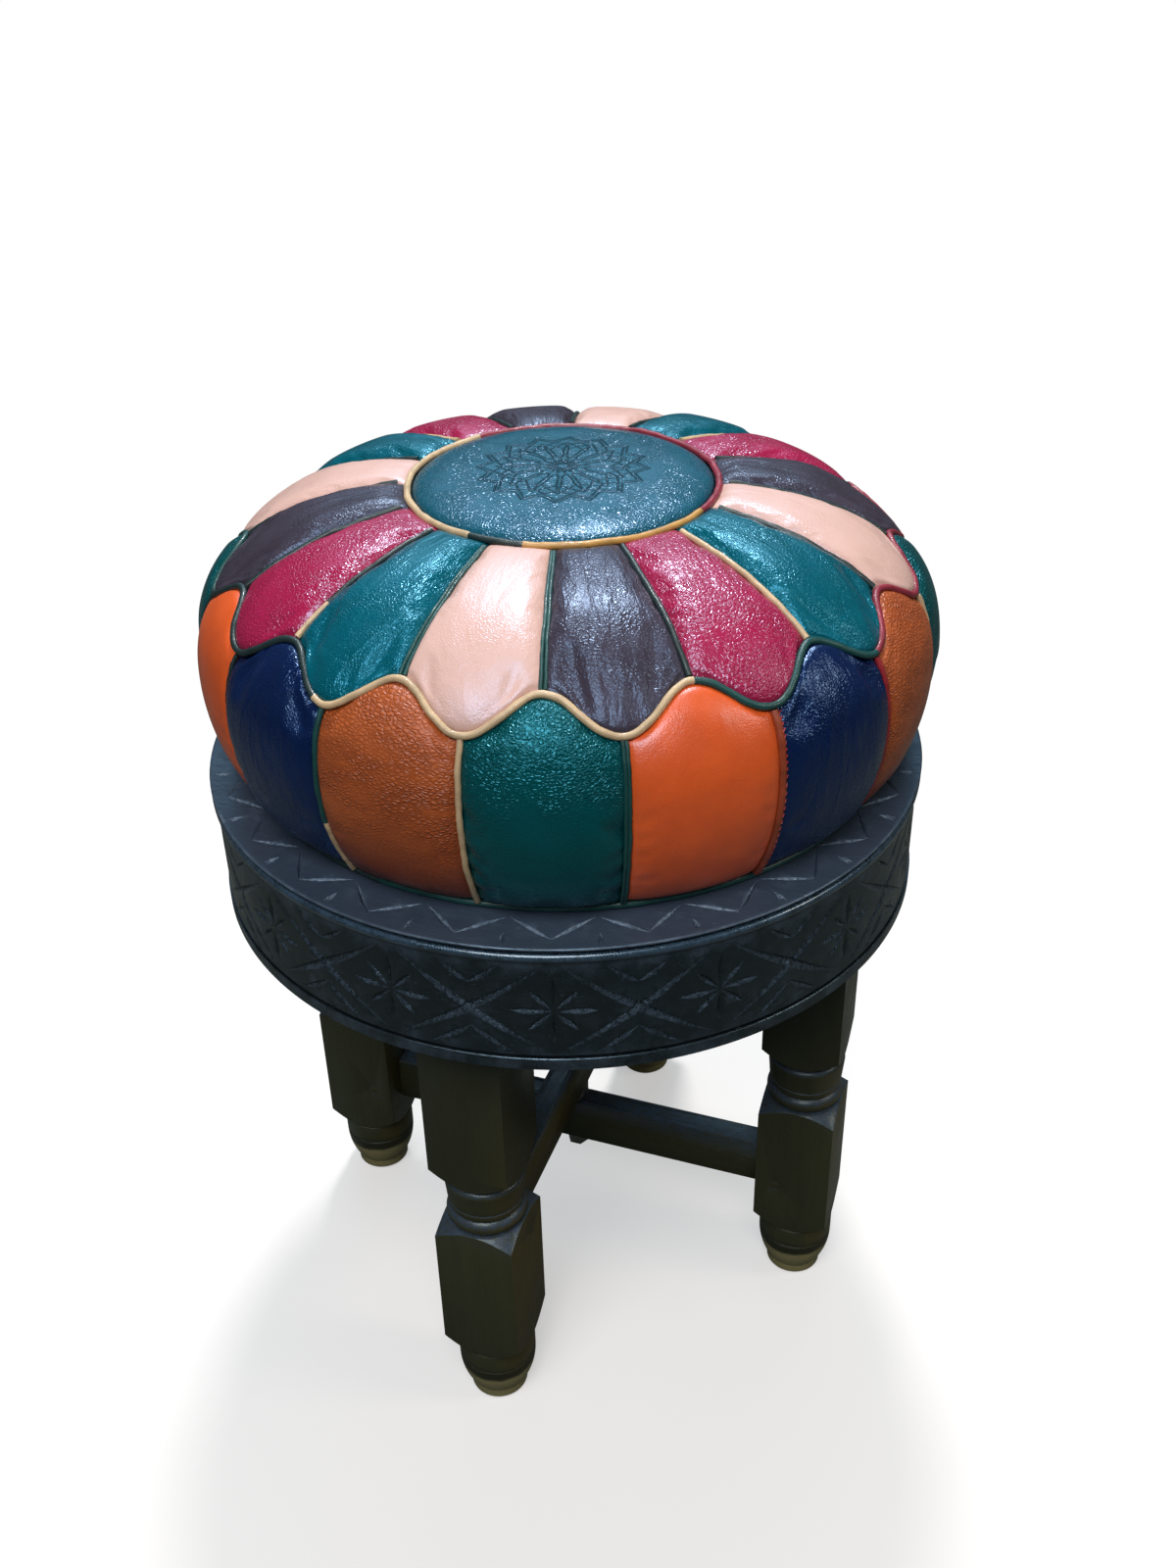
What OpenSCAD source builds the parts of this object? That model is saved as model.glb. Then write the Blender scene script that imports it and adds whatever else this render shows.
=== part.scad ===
// A round carved side table on a folding stand, with a sewn leather pouf lying on its board.
// Two leg frames cross at a pivot under the middle, a hooped tabletop drops over their four
// legs, and the pouf lies loose on the board. Millimetres, +Z up, origin on the floor under
// the pivot. The front leg stands at -Y and the right leg at +X.

/* [Tabletop] */
// Diameter of the board at its rolled edge
table_d = 420; // [400:2:440]
// Height of the board's upper face above the floor
table_h = 402; // [392:1:420]
// Thickness of the board
board_t = 18; // [15:1:20]
// Height of the moulded rim that laps over the hoop
rim_t = 10; // [9:0.5:12]
// Height of the hoop below the rim
apron_h = 70.4; // [62:0.4:78]
// Wall of the hoop
apron_wall = 22; // [18:1:26]
// How far the hoop's carved field stands back from the board's edge
apron_setback = 2; // [1:0.5:4]
// Height of the plain band along the hoop's lower edge
apron_band_h = 8; // [6:0.5:12]

/* [Legs] */
// Side of the square leg stock
leg_w = 49; // [46:1:52]
// Gap between the hoop and the legs' outer corners
hoop_gap = 1.2; // [0.6:0.1:2]
// Diameter of the foot's tip
foot_d = 36; // [32:1:40]
// Height of the foot's straight tip
foot_tip_h = 8; // [6:1:12]
// Height at which the foot's cup reaches full roundness
foot_cup_h = 32; // [28:1:36]
// Height of the lower block's bottom corners above the floor
lower_block_z = 60; // [56:1:66]
// Length of the shoulders that run from round to square
shoulder_h = 11; // [9:1:13]
// Length of the short shoulder on top of the lower block
break_h = 7; // [5:1:9]
// Length of the lower bead
bead_h = 11; // [9:1:12]
// Length of the barrel's taper, above the lower bead
cove_h = 12; // [10:1:16]
// Length of the barrel's full upper part
ring_h = 14; // [12:1:16]

/* [Stretchers and rails] */
// Height of the lower stretcher's underside above the lower block's corners
stretcher_rise = 13; // [10:1:16]
// Height of a stretcher
stretcher_h = 33; // [28:1:36]
// Thickness of a stretcher or rail
stretcher_t = 16; // [14:1:20]
// Height of a rail
rail_h = 24; // [20:1:25]
// Gap between the two rails, filled by a washer
rail_gap = 3; // [2:0.5:4]
// Height of the spacer between the two stretchers
spacer_h = 14; // [10:1:16]
// Thickness of the tenons
tenon_t = 8; // [6:0.5:10]
// Length of the tenons
tenon_l = 26; // [20:1:30]
// Diameter of the pegs that lock the tenons
peg_d = 6; // [5:0.5:7]

/* [Pivots] */
// Diameter of the pivot bolts
bolt_d = 8; // [6:0.5:8.5]
// Diameter of the washers and of the bolts' domed heads
washer_d = 16; // [15:0.5:18]
// Thickness of a washer
washer_t = 1.6; // [1.2:0.2:2]
// Height of a bolt's domed head
head_h = 4.5; // [4:0.5:5]
// Width across the flats of a nut
nut_af = 13; // [12:0.5:14]
// Height of a nut
nut_h = 6.5; // [5:0.5:7]
// Radial clearance of the bolts in the frame that turns
bolt_play = 0.08; // [0.05:0.01:0.1]

/* [Pouf] */
// Largest diameter of the pouf
pouf_d = 412; // [400:2:424]
// How far the pouf is drawn in where it meets the board
pouf_tuck = 20; // [14:1:30]
// Height of the pouf's widest line above the board
belly_h = 66; // [58:1:74]
// Height of the crown above the widest line
crown_h = 93; // [84:1:100]
// Diameter of the round piece in the middle of the top
medallion_d = 172; // [150:2:190]
// How far the pouf is set back from the middle of the table
pouf_back = 8; // [0:1:8]
// How far the leather stands proud between two seams
pouf_puff = 4.5; // [2:0.5:6]
// Thickness of the leather
leather_t = 2; // [1.6:0.1:2.4]
// Diameter of the piping in the seams
piping_d = 4; // [3:0.2:4.4]
// Height of the scallops' peaks above the widest line
scallop_peak_h = 56; // [52:1:64]
// Height of the scallops' tips above the widest line
scallop_tip_h = 40; // [32:0.5:44]
// Gap between the leather and its stuffing
stuffing_gap = 2.4; // [2:0.1:4]
// Length of the zip in the base
zip_l = 190; // [150:5:220]
// Width of the zip
zip_w = 9; // [7:0.5:12]

/* [Hidden] */
PANELS = 16; // petals round the top, and as many side panels below them

fine = 96; // facets of the large rounds
small = 48; // facets of the small rounds
seat_gap = 0.3; // between loose pieces that rest on each other
fit_gap = 0.1; // round a tenon, a peg or a bolt within one frame
sew_gap = 0.35; // between a panel's edge and its piping

wood = [0.07, 0.07, 0.08];
steel = [0.55, 0.56, 0.58];
peach = [0.90, 0.72, 0.60];
taupe = [0.33, 0.29, 0.31];
maroon = [0.62, 0.10, 0.22];
teal = [0.02, 0.33, 0.35];
orange = [0.75, 0.27, 0.08];
navy = [0.03, 0.09, 0.24];
tan = [0.50, 0.20, 0.09];
beige = [0.75, 0.62, 0.46];
petal_colours = [peach, taupe, maroon, teal]; // in the order of the angle, from the front seam
side_colours = [teal, orange, navy, tan];

// The tabletop
apron_r = table_d/2 - apron_setback;
apron_inner_r = apron_r - apron_wall;
apron_top = table_h - rim_t;
apron_bottom = apron_top - apron_h;
board_bottom = table_h - board_t;
roll_h = 1.8; // the rim's rolled upper edge
quirk_h = 1.6; // the groove under it
quirk_d = 2.6;

// The legs
leg_h = board_bottom - seat_gap;
leg_circle_r = sqrt(pow(apron_inner_r - hoop_gap, 2) - pow(leg_w/2, 2)) - leg_w/2;
leg_inner_r = leg_circle_r - leg_w/2;
turned_r = leg_w/2 - 0.1; // the largest full round in the square stock
corner_r = leg_w/sqrt(2);
groove_d = 1; // the small grooves that mark the turnings
foot_arris = 2.2;

// Stretchers, low in the legs: the left-right one runs under the front-back one
low_z = lower_block_z + stretcher_rise;
high_z = low_z + stretcher_h + spacer_h;
high_top = high_z + stretcher_h;
tenon_lip = 4; // the bars' step above and below their tenons

// The turned neck, from the lower block to the upper one
block_top = high_top - 3;
bead_z = block_top + break_h;
cove_z = bead_z + bead_h;
ring_z = cove_z + cove_h;
upper_shoulder_z = ring_z + ring_h + groove_d;
upper_block_z = upper_shoulder_z + shoulder_h;

// Rails, inside the hoop: the left-right one runs under the front-back one
nut_clear = 1.4; // between the upper bolt's end and the board
bolt_end = 0.8; // the bolts' length past their nuts
upper_rail_z = board_bottom - nut_clear - bolt_end - nut_h - washer_t - rail_h;
lower_rail_z = upper_rail_z - rail_gap - rail_h;
turn_gap = 0.2; // between faces that turn on each other

// The pouf
pouf_z = table_h + seat_gap;
pouf_r = pouf_d/2;
belly_z = pouf_z + belly_h;
pouf_base_d = pouf_d - 2*pouf_tuck;
base_a = -acos(pouf_base_d/pouf_d);
drop_h = belly_h/sin(-base_a);
crown_power = 0.8;
scallop_peak = crown_a(scallop_peak_h);
scallop_tip = crown_a(scallop_tip_h);
medallion_a = acos(pow(medallion_d/pouf_d, 1/crown_power));
panel_deg = 360/PANELS;
first_seam = -5.9; // the front seam, from the front leg towards the right one
piping_r = piping_d/2;
piping_sink = 0.6; // the piping's middle lies this far inside the seam's line
panel_cols = 4; // cells of a panel from seam to seam
panel_rows = 5; // cells of a panel from edge to edge
piping_sides = 6;

function mix(a, b, t) = a + (b - a)*t;

// The angle along the outline of a height above the widest line
function crown_a(h) = asin(pow(h/crown_h, 1/crown_power));

// The pouf's outline at an angle above or below its widest line
function outline(a) = a >= 0
    ? [pouf_r*pow(cos(a), crown_power), belly_z + crown_h*pow(sin(a), crown_power)]
    : [pouf_r*cos(a), belly_z + drop_h*sin(a)];
function outline_step(a) = outline(a + 0.5) - outline(a - 0.5);
function outline_normal(a) =
    let (s = outline_step(a))
    [s[1], -s[0]]/norm(s);

// A point of the pouf: th round from the front, a up the outline, off outwards from it
function skin(th, a, off) =
    let (p = outline(a) + off*outline_normal(a))
    [p[0]*sin(th), p[0]*-cos(th), p[1]];

// The scalloped line between petals and side panels: peaks at the petals' seams
function scallop_a(th) =
    mix(scallop_tip, scallop_peak, 0.5 + 0.5*cos(360*(th - first_seam)/panel_deg));

// How far the leather is puffed out at a share u across and v along a panel
function puff(u, v) = pouf_puff*pow(max(0, 4*u*(1 - u)), 0.6)*pow(max(0, 4*v*(1 - v)), 0.4);

// Rows of points of a panel: from th0 to th1, from one edge angle to the other. The edges
// are drawn in by pull, in millimetres, and the whole is moved outwards by off.
function panel_points(th0, th1, is_petal, pull, off) =
    [for (i = [0 : panel_cols]) for (j = [0 : panel_rows])
        let (
            u = i/panel_cols,
            v = j/panel_rows,
            th_mid = mix(th0, th1, u),
            pull_low = (is_petal ? 1.5 : 1.25)*pull,
            pull_high = is_petal ? pull : 1.5*pull,
            a_low = is_petal ? scallop_a(th_mid) : base_a,
            a_high = is_petal ? medallion_a : scallop_a(th_mid),
            a = mix(a_low + pull_low/norm(outline_step(a_low)),
                    a_high - pull_high/norm(outline_step(a_high)), v),
            turn = pull/outline(a)[0]*180/PI,
            th = mix(th0 + turn, th1 - turn, u))
        skin(th, a, off + puff(u, v))];

// A closed sheet from two equal grids of points, the outer one first
module sheet(outer, inner, cols, rows) {
    n = len(outer);
    function at(i, j) = i*(rows + 1) + j;
    edge = concat(
        [for (i = [0 : cols - 1]) at(i, 0)],
        [for (j = [0 : rows - 1]) at(cols, j)],
        [for (i = [cols : -1 : 1]) at(i, rows)],
        [for (j = [rows : -1 : 1]) at(0, j)]);
    faces = concat(
        [for (i = [0 : cols - 1]) for (j = [0 : rows - 1])
            each [[at(i, j), at(i, j + 1), at(i + 1, j + 1)],
                  [at(i, j), at(i + 1, j + 1), at(i + 1, j)]]],
        [for (i = [0 : cols - 1]) for (j = [0 : rows - 1])
            each [[n + at(i, j), n + at(i + 1, j + 1), n + at(i, j + 1)],
                  [n + at(i, j), n + at(i + 1, j), n + at(i + 1, j + 1)]]],
        [for (k = [0 : len(edge) - 1])
            let (p = edge[k], q = edge[(k + 1) % len(edge)])
            each [[p, q, n + q], [p, n + q, n + p]]]);
    polyhedron(concat(outer, inner), faces, convexity = 4);
}

// A tube of piping along a path on the pouf, given as [round, up] angles
module piping(path, closed) {
    count = len(path);
    last = closed ? count : count - 1;
    spine = [for (p = path) skin(p[0], p[1], -piping_sink)];
    rings = [for (i = [0 : count - 1])
        let (
            before = spine[closed ? (i + count - 1) % count : max(i - 1, 0)],
            after = spine[closed ? (i + 1) % count : min(i + 1, count - 1)],
            along = (after - before)/norm(after - before),
            rough = skin(path[i][0], path[i][1], 1) - skin(path[i][0], path[i][1], 0),
            side = cross(along, rough)/norm(cross(along, rough)),
            out = cross(side, along))
        each [for (k = [0 : piping_sides - 1])
            let (t = 360*k/piping_sides)
            spine[i] + piping_r*(cos(t)*out + sin(t)*side)]];
    function at(i, k) = (i % count)*piping_sides + k % piping_sides;
    faces = concat(
        [for (i = [0 : last - 1]) for (k = [0 : piping_sides - 1])
            each [[at(i, k), at(i + 1, k + 1), at(i + 1, k)],
                  [at(i, k), at(i, k + 1), at(i + 1, k + 1)]]],
        closed ? [] : [for (k = [1 : piping_sides - 2])
            each [[at(0, 0), at(0, k + 1), at(0, k)],
                  [at(count - 1, 0), at(count - 1, k), at(count - 1, k + 1)]]]);
    polyhedron(rings, faces, convexity = 4);
}

// Everything of the pouf is drawn about its own middle and set back on the board
module on_board() {
    translate([0, pouf_back, 0]) children();
}

module top_board() {
    edge_r = table_d/2;
    bead_r = (rim_t - roll_h - quirk_h)/2;
    color(wood) rotate_extrude($fn = fine) difference() {
        union() {
            translate([0, board_bottom]) square([apron_inner_r - fit_gap, board_t]);
            translate([0, apron_top]) square([edge_r - bead_r, rim_t]);
            translate([edge_r - bead_r, apron_top + bead_r]) circle(bead_r, $fn = small);
            translate([0, table_h - roll_h]) square([edge_r - roll_h/2, roll_h]);
            translate([edge_r - roll_h/2, table_h - roll_h/2]) circle(roll_h/2, $fn = small);
        }
        translate([edge_r - quirk_d, table_h - roll_h - quirk_h]) square([quirk_d, quirk_h]);
        translate([-2*edge_r, 0]) square([2*edge_r, 2*table_h]);
    }
}

module apron_hoop() {
    line_w = 1.6;
    band_r = apron_r + apron_setback/2;
    color(wood) rotate_extrude($fn = fine) difference() {
        union() {
            translate([apron_inner_r, apron_bottom]) square([apron_wall, apron_h]);
            translate([apron_inner_r, apron_bottom])
                square([band_r - apron_inner_r, apron_band_h]);
        }
        translate([apron_r - line_w, apron_bottom + apron_band_h])
            square([2*line_w, line_w]);
        translate([band_r, apron_bottom])
            rotate(45) square(line_w*sqrt(2)/2, center = true);
    }
}

// Half of a leg's turned outline, from the floor up to the board
module leg_outline() {
    cup_rise = foot_cup_h - foot_tip_h;
    cup_out = turned_r - foot_d/2;
    cup_r = (pow(cup_rise, 2) + pow(cup_out, 2))/(2*cup_out);
    past = corner_r + 4; // the shoulders' cones run on past the stock's corners
    over = (past - corner_r)/(corner_r - turned_r);
    polygon([[0, 0], [foot_d/2 - foot_arris, 0], [foot_d/2, foot_arris],
             [foot_d/2, foot_tip_h], [0, foot_tip_h]]);
    intersection() {
        translate([turned_r - cup_r, foot_cup_h]) circle(cup_r, $fn = fine);
        translate([0, foot_tip_h]) square([turned_r, cup_rise]);
    }
    difference() {
        union() {
            translate([0, foot_cup_h]) square([turned_r, upper_shoulder_z - foot_cup_h]);
            polygon([[0, lower_block_z - shoulder_h], [turned_r, lower_block_z - shoulder_h],
                     [past, lower_block_z + shoulder_h*over], [past, block_top - break_h*over],
                     [turned_r, bead_z], [0, bead_z]]);
            polygon([[0, upper_shoulder_z], [turned_r, upper_shoulder_z],
                     [past, upper_block_z + shoulder_h*over], [past, leg_h], [0, leg_h]]);
        }
        for (z = [foot_cup_h + 1.5*groove_d, lower_block_z - shoulder_h])
            translate([turned_r, z]) rotate(45) square(groove_d*sqrt(2), center = true);
        // the neck is cut back to its core, and the bead and barrel are added again below
        translate([turned_r - 3*groove_d, bead_z])
            square([past, upper_shoulder_z - bead_z]);
    }
    translate([turned_r - bead_h/2, bead_z + bead_h/2]) circle(bead_h/2, $fn = small);
    difference() {
        barrel_outline(cove_z + groove_d, ring_z + ring_h - 1.5*groove_d);
        translate([turned_r - 0.8*groove_d, cove_z + cove_h/2])
            rotate(45) square(groove_d*sqrt(2), center = true);
    }
}

// The neck's barrel: widest under its rounded top and tapered to its rounded foot
module barrel_outline(low, high) {
    lip_r = 4;
    foot_r = turned_r - 1.5*groove_d;
    polygon([[0, low], [foot_r - groove_d, low], [foot_r, low + groove_d],
             [turned_r, high - lip_r], [0, high - lip_r]]);
    translate([0, high - lip_r]) square([turned_r - lip_r, lip_r]);
    translate([turned_r - lip_r, high - lip_r]) circle(lip_r, $fn = small);
}

// A leg about its own axis, with its inner face at -X, mortised for one stretcher and rail
module leg(stretcher_z, rail_z) {
    color(wood) difference() {
        intersection() {
            translate([-leg_w/2, -leg_w/2, 0]) cube([leg_w, leg_w, leg_h]);
            rotate_extrude($fn = fine) leg_outline();
        }
        mortise(stretcher_z, stretcher_h);
        mortise(rail_z, rail_h);
    }
}

module mortise(z, h) {
    translate([-leg_w/2 - 1, -tenon_t/2 - fit_gap, z + tenon_lip - fit_gap])
        cube([tenon_l + 1 + fit_gap, tenon_t + 2*fit_gap, h - 2*tenon_lip + 2*fit_gap]);
    translate([-leg_w/2 + tenon_l/2, 0, z + h/2]) rotate([90, 0, 0])
        cylinder(h = 2*leg_w, d = peg_d + fit_gap, center = true, $fn = small);
}

module at_leg(angle) {
    rotate([0, 0, angle]) translate([leg_circle_r, 0, 0]) children();
}

// A stretcher or rail along X, tenoned at both ends and bored for the pivot
module bar(z, h, bore_r) {
    peg_r = leg_inner_r + tenon_l/2;
    color(wood) difference() {
        union() {
            translate([-leg_inner_r, -stretcher_t/2, z])
                cube([2*leg_inner_r, stretcher_t, h]);
            translate([-leg_inner_r - tenon_l, -tenon_t/2, z + tenon_lip])
                cube([2*(leg_inner_r + tenon_l), tenon_t, h - 2*tenon_lip]);
        }
        translate([0, 0, z - 1]) cylinder(h = h + 2, r = bore_r, $fn = small);
        for (x = [-peg_r, peg_r])
            translate([x, 0, z + h/2]) rotate([90, 0, 0])
                cylinder(h = 2*tenon_t, d = peg_d + fit_gap, center = true, $fn = small);
    }
}

// The four pegs of one frame, lying along X
module frame_pegs(stretcher_z, rail_z) {
    peg_r = leg_inner_r + tenon_l/2;
    for (x = [-peg_r, peg_r]) for (z = [stretcher_z + stretcher_h/2, rail_z + rail_h/2])
        color(wood) translate([x, 0, z]) rotate([90, 0, 0])
            cylinder(h = leg_w, d = peg_d, center = true, $fn = small);
}

still_bore = (bolt_d + fit_gap)/2;
turning_bore = bolt_d/2 + bolt_play;

module front_back_stretcher() { rotate([0, 0, 90]) bar(high_z, stretcher_h, still_bore); }
module left_right_stretcher() { bar(low_z, stretcher_h, turning_bore); }
module front_back_rail() { rotate([0, 0, 90]) bar(upper_rail_z, rail_h, still_bore); }
module left_right_rail() { bar(lower_rail_z, rail_h, turning_bore); }

// A washer, or a spacer, on the pivot
module ring(z, h) {
    translate([0, 0, z]) difference() {
        cylinder(h = h, d = washer_d, $fn = small);
        translate([0, 0, -1]) cylinder(h = h + 2, r = still_bore, $fn = small);
    }
}

module nut(z) {
    translate([0, 0, z]) difference() {
        cylinder(h = nut_h, d = nut_af/cos(30), $fn = 6);
        translate([0, 0, -1]) cylinder(h = nut_h + 2, r = still_bore, $fn = small);
    }
}

// A bolt with a domed head, standing on its head at z and running up by length
module bolt(z, length) {
    dome_r = (pow(washer_d/2, 2) + pow(head_h, 2))/(2*head_h);
    translate([0, 0, z]) {
        cylinder(h = length, d = bolt_d, $fn = small);
        intersection() {
            translate([0, 0, dome_r - head_h]) sphere(dome_r, $fn = small);
            translate([0, 0, -head_h]) cylinder(h = head_h, d = washer_d, $fn = small);
        }
    }
}

low_washer_z = low_z - turn_gap - washer_t;
low_nut_z = low_washer_z - nut_h;
low_bolt_z = high_top + washer_t;
high_bolt_z = lower_rail_z - turn_gap;
high_washer_z = upper_rail_z + rail_h;

module lower_pivot_bolt() {
    color(steel) mirror([0, 0, 1])
        bolt(-low_bolt_z, low_bolt_z - low_nut_z + bolt_end);
}
module upper_pivot_bolt() {
    color(steel) bolt(high_bolt_z, high_washer_z + washer_t + nut_h + bolt_end - high_bolt_z);
}
module pivot_nuts() {
    color(steel) {
        nut(low_nut_z);
        nut(high_washer_z + washer_t);
    }
}
module pivot_washers() {
    color(steel) {
        ring(low_washer_z, washer_t);
        ring(high_top, washer_t);
        ring(high_washer_z, washer_t);
        ring(upper_rail_z - rail_gap + turn_gap, rail_gap - turn_gap);
    }
}
module pivot_spacer() {
    color(steel) ring(high_z - spacer_h + turn_gap, spacer_h - turn_gap);
}

// The leather pieces. A petal lies between two seams, a side panel between two scallop tips.
module leather_panel(th0, is_petal) {
    pull = piping_r + sew_gap;
    sheet(panel_points(th0, th0 + panel_deg, is_petal, pull, 0),
          panel_points(th0, th0 + panel_deg, is_petal, pull, -leather_t),
          panel_cols, panel_rows);
}

module petal(k) {
    color(petal_colours[(k - 1) % 4]) on_board()
        leather_panel(first_seam + (k - 1)*panel_deg, true);
}

module side_panel(k) {
    color(side_colours[(k - 1) % 4]) on_board()
        leather_panel(first_seam + (k - 0.5)*panel_deg, false);
}

// The stuffing fills the leather, seam for seam
module stuffing() {
    off = -leather_t - stuffing_gap;
    half = panel_cols/2;
    cols = 2*PANELS*half;
    rows = 2*panel_rows;
    top_z = outline(90)[1] + off;
    base_z = pouf_z + leather_t + seat_gap;
    points = concat(
        [for (i = [0 : cols - 1]) for (j = [0 : rows])
            let (
                th = first_seam + i*panel_deg/panel_cols,
                on_petal = j > panel_rows,
                a = on_petal ? mix(scallop_a(th), medallion_a, (j - panel_rows)/panel_rows)
                             : mix(base_a + 2, scallop_a(th), j/panel_rows),
                u = (i/panel_cols + (on_petal ? 0 : 0.5)) % 1,
                v = j/panel_rows % 1)
            skin(th, a, off - piping_r*(j % panel_rows == 0 || u == 0 ? 1 : 0) + puff(u, v))],
        [[0, 0, base_z], [0, 0, top_z]]);
    function at(i, j) = (i % cols)*(rows + 1) + j;
    foot = cols*(rows + 1);
    faces = concat(
        [for (i = [0 : cols - 1]) for (j = [0 : rows - 1])
            each [[at(i, j), at(i, j + 1), at(i + 1, j + 1)],
                  [at(i, j), at(i + 1, j + 1), at(i + 1, j)]]],
        [for (i = [0 : cols - 1]) [foot, at(i, 0), at(i + 1, 0)]],
        [for (i = [0 : cols - 1]) [foot + 1, at(i + 1, rows), at(i, rows)]]);
    color("white") on_board() polyhedron(points, faces, convexity = 6);
}

module medallion() {
    edge = piping_r + sew_gap;
    edge_a = medallion_a + edge/norm(outline_step(medallion_a));
    steps = 6;
    function rim(off) = [for (i = [0 : steps])
        let (a = mix(edge_a, 90, i/steps))
        i == steps ? [0, outline(90)[1] + off] : outline(a) + off*outline_normal(a)];
    upper = rim(0);
    lower = rim(-leather_t);
    color(teal) on_board() rotate_extrude($fn = fine)
        polygon(concat(upper, [for (i = [steps : -1 : 0]) lower[i]]));
}

module base_panel() {
    slot_l = zip_l + 2*fit_gap;
    slot_w = zip_w + 2*fit_gap;
    color(taupe) on_board() difference() {
        translate([0, 0, pouf_z])
            cylinder(h = leather_t, r = pouf_base_d/2 - piping_d - sew_gap, $fn = fine);
        translate([-slot_l/2, -slot_w/2, pouf_z - 1]) cube([slot_l, slot_w, leather_t + 2]);
    }
}

module base_zip() {
    tape_t = leather_t/2;
    teeth_w = zip_w/3;
    puller_l = zip_w;
    color(steel) on_board() {
        translate([-zip_l/2, -zip_w/2, pouf_z + leather_t - tape_t])
            cube([zip_l, zip_w, tape_t]);
        translate([-zip_l/2, -teeth_w/2, pouf_z + tape_t/2])
            cube([zip_l, teeth_w, tape_t]);
        translate([zip_l/2 - puller_l, -teeth_w, pouf_z + tape_t/4])
            cube([puller_l, 2*teeth_w, tape_t]);
    }
}

module medallion_piping() {
    p = skin(0, medallion_a, -piping_sink);
    color(beige) on_board() rotate_extrude($fn = fine)
        translate([norm([p[0], p[1]]), p[2]]) circle(piping_r, $fn = small);
}

module base_piping() {
    color(teal) on_board() rotate_extrude($fn = fine)
        translate([pouf_base_d/2 - piping_r, pouf_z + piping_r]) circle(piping_r, $fn = small);
}

module scallop_piping() {
    count = PANELS*panel_cols;
    color(beige) on_board()
        piping([for (i = [0 : count - 1])
            let (th = first_seam + 360*i/count)
            [th, scallop_a(th)]], true);
}

// Seam piping stops short of the piping that it runs into
module petal_piping() {
    room = piping_d + sew_gap;
    low = scallop_peak + room/norm(outline_step(scallop_peak));
    high = medallion_a - room/norm(outline_step(medallion_a));
    for (k = [0 : PANELS - 1])
        color(teal) on_board()
            piping([for (j = [0 : panel_rows])
                [first_seam + k*panel_deg, mix(low, high, j/panel_rows)]], false);
}

module side_piping() {
    room = piping_d + sew_gap;
    low = base_a + room/norm(outline_step(base_a));
    high = scallop_tip - room/norm(outline_step(scallop_tip));
    for (k = [0 : PANELS - 1])
        color(beige) on_board()
            piping([for (j = [0 : panel_rows])
                [first_seam + (k + 0.5)*panel_deg, mix(low, high, j/panel_rows)]], false);
}

top_board();
apron_hoop();
at_leg(-90) leg(high_z, upper_rail_z);  // leg_front
at_leg(90) leg(high_z, upper_rail_z);  // leg_back
at_leg(180) leg(low_z, lower_rail_z);  // leg_left
at_leg(0) leg(low_z, lower_rail_z);  // leg_right
front_back_stretcher();
left_right_stretcher();
front_back_rail();
left_right_rail();
rotate([0, 0, 90]) frame_pegs(high_z, upper_rail_z);  // front_frame_pegs
frame_pegs(low_z, lower_rail_z);  // side_frame_pegs
lower_pivot_bolt();
upper_pivot_bolt();
pivot_nuts();
pivot_washers();
pivot_spacer();
stuffing();
medallion();
base_panel();
base_zip();
medallion_piping();
petal_piping();
scallop_piping();
side_piping();
base_piping();
for (k = [1 : PANELS]) petal(k);
for (k = [1 : PANELS]) side_panel(k);
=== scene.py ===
# Looks of a folding low table with a sewn leather pouf on it, in metres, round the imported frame
import math
import bmesh
import bpy
from mathutils import Matrix, Vector, noise


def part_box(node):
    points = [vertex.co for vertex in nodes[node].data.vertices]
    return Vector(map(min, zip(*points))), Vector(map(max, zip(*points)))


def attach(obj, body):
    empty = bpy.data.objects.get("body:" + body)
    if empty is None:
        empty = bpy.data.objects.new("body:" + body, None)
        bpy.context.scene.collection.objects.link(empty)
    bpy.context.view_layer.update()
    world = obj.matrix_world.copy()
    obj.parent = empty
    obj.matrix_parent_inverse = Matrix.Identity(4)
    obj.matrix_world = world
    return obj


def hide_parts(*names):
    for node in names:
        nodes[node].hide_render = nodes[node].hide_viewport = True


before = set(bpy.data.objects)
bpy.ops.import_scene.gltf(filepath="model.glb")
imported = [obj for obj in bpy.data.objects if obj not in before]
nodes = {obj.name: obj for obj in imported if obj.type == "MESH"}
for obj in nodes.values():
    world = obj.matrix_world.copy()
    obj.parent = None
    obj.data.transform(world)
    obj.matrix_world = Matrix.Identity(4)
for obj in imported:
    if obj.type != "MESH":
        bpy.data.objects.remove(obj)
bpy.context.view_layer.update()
mm = 0.001
noise.seed_set(1)  # noise_vector takes its offsets from the clock unless it is seeded


# View and light

view = {
    "place": (0.2913, -0.7698, 0.8909),  # the camera stands here
    "heading": 19.853,                   # turned to the left of +Y, degrees
    "down": 32.667,
    "roll": -1.328,
    "lens": 36.67,                       # for a 36 mm long side
}
light = {
    "world": 0.10,
    "worldColour": (0.70, 0.86, 1.0),
    "middle": (0, 0, 0.45),              # the lamps look here
    "lamps": [  # azimuth from the front, elevation, distance, size, watts, colour
        (195, 65, 3.0, 0.5, 82, (0.98, 0.99, 1.0)),
        (200, 48, 3.0, 3.2, 32, (0.50, 0.78, 1.0)),
        (6, 52, 3.0, 1.8, 74, (0.96, 0.98, 1.0)),
        (95, 34, 3.0, 0.8, 16, (1.0, 0.94, 0.82)),
    ],
    "floor": (0.95, 0.89, 0.85),         # as the camera sees it, against the blue of the lamps
    "floorUnder": (0.085, 0.09, 0.08),   # as it throws light back
    "floorSize": 30,
    "fade": (0.45, 1.2),                 # from here to there the floor turns plain white
}


def link(item):
    bpy.context.scene.collection.objects.link(item)
    return item


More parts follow.
